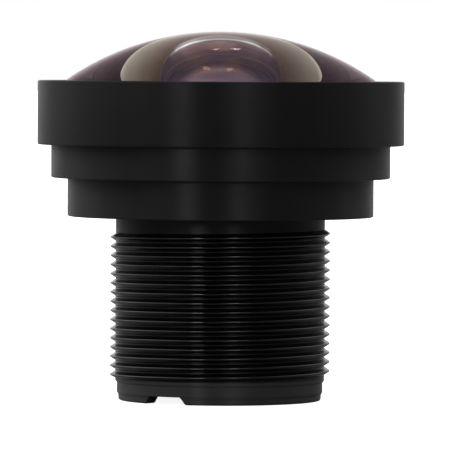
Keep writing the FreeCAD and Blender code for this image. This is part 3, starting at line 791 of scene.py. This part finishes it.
def barrel_corners(sizes, thread, glass):
    """Half section of the barrel from the thread's front end round to its rear end."""
    front_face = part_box("barrel")[1].z
    spigot_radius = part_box("barrel")[1].x
    ring_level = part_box("front_retaining_ring")[0].z
    step_level = ring_level - sizes.body_step_height
    shoulder = step_level - sizes.flange_height
    seal_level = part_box("front_seal")[0].z
    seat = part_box("front_lens")[0].z - sizes.seat_relief
    stop_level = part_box("aperture_stop")[0].z
    rear_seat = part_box("rear_lens")[0].z
    rib_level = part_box("fourth_lens")[1].z - sag(glass.fourth_front_radius, glass.rib_half)
    play = sizes.bore_clearance
    front_bore = glass.plug_radius + play
    middle_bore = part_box("third_lens")[1].x + play
    rear_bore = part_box("rear_lens")[1].x + play
    retainer_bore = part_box("rear_retaining_ring")[1].x + play
    edge = sizes.edge
    fine_edge = 0.3 * edge
    band_top = sizes.end_band
    band_base = band_top + sizes.end_taper
    tail_top = band_base + sizes.tail_band
    return [
        Corner(sizes.neck_radius, at_column(thread.end_level, thread)),
        Corner(sizes.neck_radius, shoulder, edge),
        Corner(sizes.flange_radius, shoulder, edge),
        Corner(sizes.flange_radius, step_level, edge / 2),
        Corner(spigot_radius, step_level, edge),
        Corner(spigot_radius, front_face, edge),
        Corner(sizes.groove_outer, front_face),
        Corner(sizes.groove_outer, seal_level),
        Corner(sizes.groove_inner, seal_level),
        Corner(sizes.groove_inner, front_face),
        Corner(front_bore, front_face, edge),
        Corner(front_bore, seat),
        Corner(middle_bore, seat),
        Corner(middle_bore, stop_level),
        Corner(sizes.rib_bore, stop_level),
        Corner(sizes.rib_bore, rib_level),
        Corner(rear_bore, rib_level),
        Corner(rear_bore, rear_seat),
        Corner(retainer_bore, rear_seat),
        Corner(retainer_bore, 0.0, edge),
        Corner(sizes.end_radius, 0.0, sizes.end_chamfer),
        Corner(sizes.end_radius, band_top, edge / 2),
        Corner(sizes.tail_radius, band_base, edge / 2),
        Corner(sizes.tail_radius, tail_top, fine_edge),
        Corner(sizes.neck_radius, tail_top + sizes.collar_cone, fine_edge),
        Corner(sizes.neck_radius, at_column(thread.start_level, thread)),
    ]


BARREL_BLACK, CUT_BLACK, PALE_BLACK = range(3)


def finish_thread(mesh, thread, root_radius):
    """Give the thread's faces and the tail's their own finishes."""
    centres = np.zeros(len(mesh.polygons) * 3)
    mesh.polygons.foreach_get("center", centres)
    across, along, level = centres.reshape(-1, 3).T
    radius = np.hypot(across, along)
    on_thread = (
        (level > thread.start_level) & (level < thread.end_level)
        & (radius > root_radius + WELD) & (radius < thread.crest_radius + WELD))
    on_tail = (level < thread.start_level) & (radius > 0.9 * root_radius)
    mesh.polygons.foreach_set("material_index", np.select(
        [on_thread, on_tail], [CUT_BLACK, PALE_BLACK], BARREL_BLACK))


class BOARD_LENS_OT_barrel(bpy.types.Operator):
    """Turn the barrel, cut its screw thread and its two spanner notches"""

    bl_idname = "board_lens.barrel"
    bl_label = "Screw Barrel"

    def execute(self, context):
        sizes = context.scene.board_lens.barrel
        thread = context.scene.board_lens.thread
        glass = context.scene.board_lens.glass
        colours = context.scene.board_lens.finish
        black = turned_black(
            "anodised_barrel", colours.anodised, colours.anodised_worn, roughness=0.46,
            gleam=0.29)
        body = turn("barrel", barrel_corners(sizes, thread, glass), thread.steps_per_turn)
        screw = thread_mesh(thread, sizes.neck_radius, black)
        whole = joined([body, screw])
        check_closed(whole, "barrel")
        notch = through_prism(
            sizes.notch_mouth, sizes.notch_root, sizes.notch_depth, sizes.notch_azimuth,
            2 * sizes.neck_radius)
        whole = cut(whole, notch)
        sharpen(whole, 0.0, sizes.notch_depth)
        whole.materials.clear()
        cut_black = turned_black(
            "anodised_thread", colours.thread, colours.thread, roughness=0.1, gleam=0.5,
            smear=0.0)
        # The tail gets a black that is paler all over than the barrel's.
        lightened = turned_black(
            "pale_tail", colours.tail, colours.tail_worn_and_lit, roughness=0.5, gleam=0.3)
        piece("barrel_body", whole, [black, cut_black, lightened], "barrel")
        finish_thread(whole, thread, sizes.neck_radius)
        return {"FINISHED"}


# Front ring

def front_ring_corners(sizes, glass):
    """Half section of the ring whose lip holds the front glass."""
    low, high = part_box("front_retaining_ring")
    front_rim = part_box("front_lens")[1].x
    contact = front_rim - sizes.lip_reach / 2
    slope = contact / math.sqrt(glass.dome_radius ** 2 - contact ** 2)
    lip_radius = front_rim - sizes.lip_reach
    cone_top = high.z - sizes.lip_edge
    cone_base = cone_top - slope * (sizes.glass_bore - lip_radius)
    edge = sizes.edge
    return [
        Corner(lip_radius, high.z, sizes.lip_edge / 3),
        Corner(high.x, high.z, edge),
        Corner(high.x, low.z, edge),
        Corner(sizes.screw_bore, low.z, edge),
        Corner(sizes.screw_bore, low.z + sizes.screw_depth),
        Corner(sizes.glass_bore, low.z + sizes.screw_depth),
        Corner(sizes.glass_bore, cone_base),
        Corner(lip_radius, cone_top),
    ]


class BOARD_LENS_OT_front_ring(bpy.types.Operator):
    """Turn the front retaining ring with its tapered lip"""

    bl_idname = "board_lens.front_ring"
    bl_label = "Front Ring"

    def execute(self, context):
        settings = context.scene.board_lens
        colours = settings.finish
        black = turned_black(
            "anodised_ring", colours.anodised, colours.anodised_worn, roughness=0.44,
            grain_pitch=0.025 * MM)
        outline = front_ring_corners(settings.rings, settings.glass)
        mesh = turn("front_ring", outline, FRONT_SEGMENTS, closed=True)
        piece("front_ring", mesh, [black], "front_retaining_ring")
        return {"FINISHED"}


# Glass

POLISHED_FRONT, POLISHED_REAR, INKED, GROUND_WALL, GROUND_LAND = range(5)

# Refractive indices, and coatings
FRONT_INDEX = 1.755
INNER_INDEX = 1.6
FILTER_INDEX = 1.52
FILM_INDEX = 1.38
DOME_COAT = Coat(125.0, FILM_INDEX, (1.0, 0.78, 0.88))
HOLLOW_COAT = Coat(118.0, 1.33, (0.9, 0.65, 0.78))
FILTER_COAT = Coat(420.0, 2.1, WHITE)


def front_glass_corners(sizes):
    """Half section of the domed front glass, from its apex to the top of its hollow."""
    low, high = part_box("front_lens")
    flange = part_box("barrel")[1].z
    rim_top = high.z - sag(sizes.dome_radius, high.x)
    hollow_radius = sphere_through(sizes.front_hollow_depth, sizes.front_hollow)
    dome = cap(sizes.dome_radius, high.x, high.z, UP, POLISHED_FRONT, steps=64)
    dome[-1] = Corner(high.x, rim_top, 0.0, INKED)
    hollow = cap(
        hollow_radius, sizes.front_hollow, low.z + sizes.front_hollow_depth, UP, POLISHED_REAR,
        steps=72)
    return [
        *dome,
        Corner(high.x, flange, sizes.bevel, INKED),
        Corner(sizes.plug_radius, flange, 0.0, GROUND_WALL),
        Corner(sizes.plug_radius, low.z, sizes.bevel, GROUND_LAND),
        Corner(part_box("front_spacer")[1].x, low.z, 0.0, INKED),
        Corner(sizes.front_hollow, low.z, 0.0, POLISHED_REAR),
        *reversed(hollow[:-1]),
    ]


class BOARD_LENS_OT_front_glass(bpy.types.Operator):
    """Grind and coat the domed front glass, and ink its rim"""

    bl_idname = "board_lens.front_glass"
    bl_label = "Front Glass"

    def execute(self, context):
        settings = context.scene.board_lens
        colours = settings.finish
        outer = coated_glass("glass_dome", FRONT_INDEX, DOME_COAT)
        inner = hazy_glowing_glass("glass_hollow", FRONT_INDEX, HOLLOW_COAT, colours)
        ink = matt_black("rim_ink", colours.ink, roughness=0.6, grain=6000.0, gleam=0.0)
        wall, land = [
            matt_black(name, tint, roughness=0.6, grain=40000.0, gleam=0.0)
            for name, tint in (("plug_wall", colours.plug_wall), ("plug_land", colours.plug_land))]
        mesh = turn("front_glass", front_glass_corners(settings.glass), FRONT_SEGMENTS)
        check_closed(mesh, "front_glass")
        piece("front_glass", mesh, [outer, inner, ink, wall, land], "front_lens")
        return {"FINISHED"}


Surface = namedtuple("Surface", "radius half_width depth", defaults=(0.0,))
# A surface with a depth is a hollow, whose radius comes from its depth and half width.


def inner_glass_corners(node, front, rear, bevel):
    """Half section of a round glass between its front and its rear surface."""
    low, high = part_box(node)
    rim = high.x
    front_land = high.z - sag(front.radius, front.half_width)
    corners = cap(front.radius, front.half_width, high.z, UP, POLISHED_FRONT)
    corners[-1] = Corner(front.half_width, front_land, 0.0, INKED)
    if rear.depth:
        rear_land = low.z
        radius = sphere_through(rear.depth, rear.half_width)
        back = cap(radius, rear.half_width, low.z + rear.depth, UP, POLISHED_REAR)
    else:
        rear_land = low.z + sag(rear.radius, rear.half_width)
        back = cap(rear.radius, rear.half_width, low.z, DOWN, POLISHED_REAR)
    if front.half_width < rim:
        corners.append(Corner(rim, front_land, bevel, INKED))
    if rear.half_width < rim:
        corners.append(Corner(rim, rear_land, bevel, INKED))
    return [*corners, *reversed(back)]


def cemented_rear_corners(sizes):
    """Half section of the pair's rear glass, whose front is hollowed to the cement."""
    low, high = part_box("doublet_rear_lens")
    rim = high.x
    bottom = high.z - sag(sizes.cement_radius, rim) - sizes.cement_gap
    hollow = cap(sizes.cement_radius, rim, bottom, DOWN, POLISHED_FRONT)
    rear_land = low.z + sag(sizes.pair_rear_radius, sizes.rear_half)
    back = cap(sizes.pair_rear_radius, sizes.rear_half, low.z, DOWN, POLISHED_REAR, steps=16)
    hollow[-1] = Corner(rim, hollow[-1].level, 0.0, INKED)
    return [*hollow, Corner(rim, rear_land, sizes.bevel, INKED), *reversed(back)]


# Colour of the inner glasses' reflections, and the thickness in nanometres of the coatings
# on the front and the rear of each
FRONT_GLEAM = (1.0, 0.6, 0.75)
REAR_GLEAM = (1.0, 0.7, 0.8)
INNER_FILMS = {
    "second_lens": (75.0, 75.0), "third_lens": (75.0, 75.0), "fourth_lens": (105.0, 105.0),
    "doublet_front_lens": (120.0, 120.0), "doublet_rear_lens": (120.0, 95.0),
    "rear_lens": (95.0, 120.0)}


class BOARD_LENS_OT_inner_glass(bpy.types.Operator):
    """Grind and coat the glasses inside the barrel"""

    bl_idname = "board_lens.inner_glass"
    bl_label = "Inner Glass"

    def execute(self, context):
        settings = context.scene.board_lens
        sizes = settings.glass
        ink = matt_black(
            "inner_rim_ink", settings.finish.ink, roughness=0.6, grain=6000.0, gleam=0.0)
        second = Surface(sizes.second_radius, sizes.second_front)
        second_hollow = Surface(0.0, sizes.second_hollow, sizes.second_hollow_depth)
        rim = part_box("doublet_front_lens")[1].x
        sections = {
            "second_lens": (second, second_hollow),
            "third_lens": (Surface(sizes.third_front_radius, sizes.group_half),
                           Surface(sizes.third_rear_radius, sizes.group_half)),
            "fourth_lens": (Surface(sizes.fourth_front_radius, sizes.rib_half),
                            Surface(sizes.fourth_rear_radius, sizes.rear_half)),
            "doublet_front_lens": (Surface(sizes.pair_front_radius, sizes.rear_half),
                                   Surface(sizes.cement_radius, rim)),
            "rear_lens": (Surface(sizes.rear_front_radius, sizes.rear_half),
                          Surface(sizes.rear_rear_radius, sizes.exit_half)),
        }
        corners = {
            node: inner_glass_corners(node, front, rear, sizes.bevel)
            for node, (front, rear) in sections.items()}
        corners["doublet_rear_lens"] = cemented_rear_corners(sizes)
        for node, outline in corners.items():
            front_film, rear_film = INNER_FILMS[node]
            front_coat = Coat(front_film, FILM_INDEX, FRONT_GLEAM)
            rear_coat = Coat(rear_film, FILM_INDEX, REAR_GLEAM)
            front = coated_glass(f"{node}_front", INNER_INDEX, front_coat)
            rear = coated_glass(f"{node}_rear", INNER_INDEX, rear_coat)
            mesh = turn(node, outline, INNER_SEGMENTS)
            check_closed(mesh, node)
            name = node.replace("_lens", "_glass")
            piece(name, mesh, [front, rear, ink], node)
        return {"FINISHED"}


# Spacers, seal and thin discs

def grooved_bore(start, end, pitch, depth):
    """Corners of a bore from its front to its rear, cut with V grooves that trap light."""
    length_along = math.hypot(end.radius - start.radius, end.level - start.level)
    count = max(1, round(length_along / pitch))
    corners = []
    for step in range(count):
        for share, cut_in in ((step / count, 0.0), ((step + 0.5) / count, depth)):
            corners.append(Corner(
                start.radius + (end.radius - start.radius) * share + cut_in,
                start.level + (end.level - start.level) * share))
    corners.append(end)
    return corners


class BOARD_LENS_OT_spacers(bpy.types.Operator):
    """Turn the five spacers with light-trap grooves in their bores"""

    bl_idname = "board_lens.spacers"
    bl_label = "Spacers"

    def execute(self, context):
        settings = context.scene.board_lens
        sizes = settings.rings
        black = matt_black(
            "spacer_black", settings.finish.spacer, roughness=0.65, grain=5000.0)
        bores = {
            "front_spacer": (sizes.front_spacer_bore, sizes.front_spacer_bore),
            "second_spacer": (sizes.group_spacer_bore, sizes.group_spacer_bore),
            "third_spacer": (sizes.group_spacer_bore, sizes.stop_side_bore),
            "fourth_spacer": (sizes.rear_spacer_bore, sizes.rear_spacer_bore),
            "fifth_spacer": (sizes.rear_spacer_bore, sizes.rear_spacer_bore),
        }
        bevel = settings.glass.bevel
        for node, (front_bore, rear_bore) in bores.items():
            low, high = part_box(node)
            mouth = Corner(front_bore, high.z)
            foot = Corner(rear_bore, low.z)
            bore = grooved_bore(mouth, foot, sizes.groove_pitch, sizes.groove_depth)
            outline = [Corner(high.x, low.z, bevel), Corner(high.x, high.z, bevel), *bore]
            mesh = turn(node, outline, SMALL_SEGMENTS, closed=True)
            check_closed(mesh, node)
            piece(f"{node}_ring", mesh, [black], node)
        return {"FINISHED"}


class BOARD_LENS_OT_seal(bpy.types.Operator):
    """Mould the rubber seal, squeezed flat under the front glass"""

    bl_idname = "board_lens.seal"
    bl_label = "Front Seal"

    def execute(self, context):
        settings = context.scene.board_lens
        low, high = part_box("front_seal")
        rubber = matt_black(
            "seal_rubber", settings.finish.rubber, roughness=0.55, grain=3000.0)
        inner = high.x - settings.rings.seal_width
        soft = 0.45 * (high.z - low.z)
        outline = [
            Corner(inner, high.z, soft), Corner(inner, low.z, soft),
            Corner(high.x, low.z, soft), Corner(high.x, high.z, soft)]
        mesh = turn("seal", outline, INNER_SEGMENTS, closed=True)
        piece("seal_ring", mesh, [rubber], "front_seal")
        return {"FINISHED"}


class BOARD_LENS_OT_discs(bpy.types.Operator):
    """Finish the baffle, the shim and the aperture stop, which keep their frame meshes"""

    bl_idname = "board_lens.discs"
    bl_label = "Thin Discs"

    def execute(self, context):
        colours = context.scene.board_lens.finish
        film = matt_black("black_film", colours.spacer, roughness=0.6, grain=9000.0)
        foil = matt_black("black_foil", colours.spacer, roughness=0.45, grain=12000.0)
        finishes = {"front_baffle": film, "rear_shim": film, "aperture_stop": foil}
        for node, material in finishes.items():
            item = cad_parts[node]
            item.data.materials.clear()
            item.data.materials.append(material)
        return {"FINISHED"}


# Rear ring and filter

class BOARD_LENS_OT_rear_ring(bpy.types.Operator):
    """Turn the rear retaining ring and slot it for its spanner"""

    bl_idname = "board_lens.rear_ring"
    bl_label = "Rear Ring"

    def execute(self, context):
        settings = context.scene.board_lens
        sizes = settings.rings
        colours = settings.finish
        low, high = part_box("rear_retaining_ring")
        ledge = low.z + sizes.filter_recess
        bevel = settings.glass.bevel
        outline = [
            Corner(sizes.rear_hole, high.z),
            Corner(high.x, high.z, bevel),
            Corner(high.x, low.z, bevel),
            Corner(sizes.filter_seat, low.z, bevel / 2),
            Corner(sizes.filter_seat, ledge),
            Corner(sizes.ledge_bore, ledge, bevel / 2),
            Corner(sizes.ledge_bore, ledge + sizes.ledge, bevel / 2),
            Corner(sizes.rear_hole, ledge + sizes.ledge),
        ]
        black = turned_black(
            "anodised_rear_ring", colours.anodised, colours.anodised_worn, roughness=0.42)
        mesh = turn("rear_ring", outline, INNER_SEGMENTS, closed=True)
        slots = through_prism(
            sizes.slot_width, sizes.slot_width, sizes.slot_depth, 0.0, 2 * high.x)
        mesh = cut(mesh, slots, low.z)
        sharpen(mesh, low.z, low.z + sizes.slot_depth)
        mesh.materials.clear()
        piece("rear_ring", mesh, [black], "rear_retaining_ring")
        return {"FINISHED"}


COATED, FILTER_RIM = range(2)


class BOARD_LENS_OT_filter(bpy.types.Operator):
    """Cut and coat the infrared filter"""

    bl_idname = "board_lens.filter"
    bl_label = "Infrared Filter"

    def execute(self, context):
        settings = context.scene.board_lens
        low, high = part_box("infrared_filter")
        bevel = settings.glass.bevel
        coat = coated_glass("filter_coat", FILTER_INDEX, FILTER_COAT, settings.finish.filter)
        rim = matt_black("filter_rim", settings.finish.ink, roughness=0.6, grain=6000.0)
        outline = [
            Corner(0.0, high.z, 0.0, COATED),
            Corner(high.x, high.z, bevel, FILTER_RIM),
            Corner(high.x, low.z, bevel, COATED),
            Corner(0.0, low.z, 0.0, COATED)]
        mesh = turn("filter", outline, SMALL_SEGMENTS)
        piece("filter_glass", mesh, [coat, rim], "infrared_filter")
        return {"FINISHED"}


# Stage

# Brightness of the studio's walls at the lens's level, by azimuth in degrees. The azimuth
# is 0 on the camera's side, grows to its right, and is 180 straight behind the lens.
HORIZON = (
    (-180, 1.0), (-160, 1.0), (-147, 1.0), (-136, 0.9), (-121, 0.9), (-116, 1.1),
    (-103, 1.0), (-97, 0.5), (-77, 0.2), (-60, 0.12), (-30, 0.08), (0, 0.05),
    (30, 0.06), (60, 0.08), (86, 0.14), (98, 0.2), (104, 0.45), (115, 0.4),
    (121, 0.15), (134, 0.2), (147, 0.38), (160, 0.6), (180, 1.0))
# The same half way up, and the brightness overhead
HALF_WAY = (
    (-180, 0.5), (-150, 0.6), (-125, 1.7), (-80, 1.9), (-55, 0.4), (-35, 0.1),
    (35, 0.1), (55, 0.2), (80, 0.6), (125, 1.1), (150, 0.6), (180, 0.5))
OVERHEAD = 3.2
# Between these sines of the height, one level blends into the next.
LOW_BLEND = (0.14, 0.4)
HIGH_BLEND = (0.86, 0.97)
# Colour of the floor as the lens sees it, and its glow as the camera sees it
FLOOR_BOUNCE = (0.3, 0.3, 0.3)
FLOOR_GLOW = 0.9

Lamp = namedtuple("Lamp", "name azimuth elevation width height radiance")
# Angles are in degrees, with the walls' azimuth, and sizes in metres.
LAMPS = (
    Lamp("left_box", -45.0, 20.0, 0.21, 0.30, 0.7),
    Lamp("right_box", 17.0, 20.0, 0.21, 0.30, 0.7),
    Lamp("left_strip", -24.0, 8.0, 0.08, 0.07, 13.0),
    Lamp("right_strip", 14.0, 8.0, 0.06, 0.06, 9.0),
    Lamp("top_left_lamp", -178.8, 43.0, 0.005, 0.002, 40.0),
    Lamp("top_right_lamp", 177.0, 42.0, 0.010, 0.0015, 60.0))
LAMP_DISTANCE = 400.0 * MM
LAMP_AIM = Vector((0.0, 0.0, 12.0 * MM))


def white_world():
    """A white studio: the backdrop is white to the camera and bright behind the lens."""
    world = bpy.data.worlds.new("studio")
    bpy.context.scene.world = world
    world.use_nodes = True
    world.node_tree.nodes.clear()
    wires = Wires(world.node_tree)
    direction = wires.add("ShaderNodeTexCoord").outputs["Generated"]
    split = wires.add("ShaderNodeSeparateXYZ", {0: direction})
    towards_camera = wires.math("MULTIPLY", split.outputs["Y"], -1.0)
    azimuth = wires.math("ARCTAN2", split.outputs["X"], towards_camera)
    share = wires.between(azimuth, -math.pi, math.pi)
    horizon, half_way = [
        wires.ramp(share, [((degrees + 180) / 360, level) for degrees, level in table])
        for table in (HORIZON, HALF_WAY)]
    low, high = [
        wires.between(split.outputs["Z"], *blend, smooth=True)
        for blend in (LOW_BLEND, HIGH_BLEND)]
    walls = wires.add("ShaderNodeMix", {0: low, 2: horizon, 3: half_way}).outputs[0]
    level = wires.add("ShaderNodeMix", {0: high, 2: walls, 3: OVERHEAD}).outputs[0]
    around = wires.add("ShaderNodeBackground", {"Strength": level})
    white = wires.add("ShaderNodeBackground", {"Color": WHITE})
    to_camera = wires.add("ShaderNodeLightPath").outputs["Is Camera Ray"]
    mixed = wires.add("ShaderNodeMixShader", {
        0: to_camera, 1: around.outputs[0], 2: white.outputs[0]})
    wires.add("ShaderNodeOutputWorld", {"Surface": mixed.outputs[0]})


def floor_card(tint):
    """Pale to the camera, dim to the lens, and clear from below."""
    material, wires = new_material("floor_card")
    tooth = wires.noise(wires.object_place(), 900.0, 3.0)
    shade = wires.blend(tooth, tint, [min(1.0, part * 1.03) for part in tint])
    card = wires.add("ShaderNodeBsdfDiffuse", {"Color": shade})
    glow = wires.add("ShaderNodeEmission", {"Color": WHITE, "Strength": FLOOR_GLOW})
    lifted = wires.add("ShaderNodeAddShader", {0: card.outputs[0], 1: glow.outputs[0]})
    dim = wires.add("ShaderNodeBsdfDiffuse", {"Color": FLOOR_BOUNCE})
    to_camera = wires.add("ShaderNodeLightPath").outputs["Is Camera Ray"]
    upper = wires.add("ShaderNodeMixShader", {
        0: to_camera, 1: dim.outputs[0], 2: lifted.outputs[0]})
    clear = wires.add("ShaderNodeBsdfTransparent")
    from_below = wires.math(
        "MULTIPLY", wires.add("ShaderNodeNewGeometry").outputs["Backfacing"], to_camera)
    wires.finish(wires.add("ShaderNodeMixShader", {
        0: from_below, 1: upper.outputs[0], 2: clear.outputs[0]}))
    return material


def pale_floor(radius, tint):
    """A round floor that keeps the lens's shadow."""
    shape = bmesh.new()
    bmesh.ops.create_circle(shape, cap_ends=True, segments=96, radius=radius)
    mesh = bpy.data.meshes.new("floor")
    shape.to_mesh(mesh)
    shape.free()
    mesh.materials.append(floor_card(tint))
    floor = add_object("floor", mesh)


def soft_lamp(lamp):
    """A rectangular lamp that faces the lens."""
    light = bpy.data.lights.new(lamp.name, "AREA")
    light.shape = "RECTANGLE"
    light.size = lamp.width
    light.size_y = lamp.height
    light.energy = lamp.radiance * math.pi * lamp.width * lamp.height
    azimuth = math.radians(lamp.azimuth)
    elevation = math.radians(lamp.elevation)
    outward = Vector((
        math.sin(azimuth) * math.cos(elevation), -math.cos(azimuth) * math.cos(elevation),
        math.sin(elevation)))
    item = add_object(lamp.name, light)
    item.location = LAMP_AIM + outward * LAMP_DISTANCE
    item.rotation_mode = "QUATERNION"
    item.rotation_quaternion = outward.to_track_quat("Z", "Y")
    item.visible_camera = False


def place_camera(sizes):
    """The camera at the photograph's distance, height and angle."""
    camera = bpy.data.cameras.new("camera")
    camera.lens = sizes.focal_length
    camera.sensor_width = 36.0
    camera.clip_start = 0.01
    camera.clip_end = 100.0
    item = add_object("camera", camera)
    item.location = (0.0, -sizes.camera_distance, sizes.camera_height)
    aim = Vector((sizes.aim_side, 0.0, sizes.aim_height))
    item.rotation_mode = "QUATERNION"
    look = (aim - item.location).to_track_quat("-Z", "Y")
    roll = Matrix.Rotation(sizes.camera_roll, 3, "Z").to_quaternion()
    item.rotation_quaternion = look @ roll
    bpy.context.scene.camera = item


class BOARD_LENS_OT_stage(bpy.types.Operator):
    """Set up the camera, the lamps, the floor and the white background"""

    bl_idname = "board_lens.stage"
    bl_label = "Stage"

    def execute(self, context):
        settings = context.scene.board_lens
        place_camera(settings.stage)
        white_world()
        pale_floor(settings.stage.floor_radius, settings.finish.floor)
        for lamp in LAMPS:
            soft_lamp(lamp)
        context.scene.view_settings.view_transform = "Standard"
        return {"FINISHED"}


# Panel and registration

STEPS = (
    BOARD_LENS_OT_stage,
    BOARD_LENS_OT_barrel,
    BOARD_LENS_OT_front_ring,
    BOARD_LENS_OT_front_glass,
    BOARD_LENS_OT_inner_glass,
    BOARD_LENS_OT_spacers,
    BOARD_LENS_OT_seal,
    BOARD_LENS_OT_discs,
    BOARD_LENS_OT_rear_ring,
    BOARD_LENS_OT_filter,
)


class BOARD_LENS_PT_panel(bpy.types.Panel):
    """Lists the steps that build the lens"""

    bl_idname = "BOARD_LENS_PT_panel"
    bl_label = "Board Lens"
    bl_space_type = "VIEW_3D"
    bl_region_type = "UI"
    bl_category = "Board Lens"

    def draw(self, context):
        for step in STEPS:
            self.layout.operator(step.bl_idname)


GROUPS = (
    BarrelSizes, ThreadSizes, GlassSizes, RingSizes, FinishColours, StageSizes, LensSizes)


def register():
    """Register the sizes, the steps and the panel."""
    for item in (*GROUPS, *STEPS, BOARD_LENS_PT_panel):
        bpy.utils.register_class(item)
    bpy.types.Scene.board_lens = PointerProperty(type=LensSizes)


def unregister():
    """Take everything out again."""
    del bpy.types.Scene.board_lens
    for item in reversed((*GROUPS, *STEPS, BOARD_LENS_PT_panel)):
        bpy.utils.unregister_class(item)


def main():
    """Build the whole lens on its stage."""
    register()
    for step in STEPS:
        getattr(bpy.ops.board_lens, step.bl_idname.split(".")[1])()


if __name__ == "__main__":
    main()
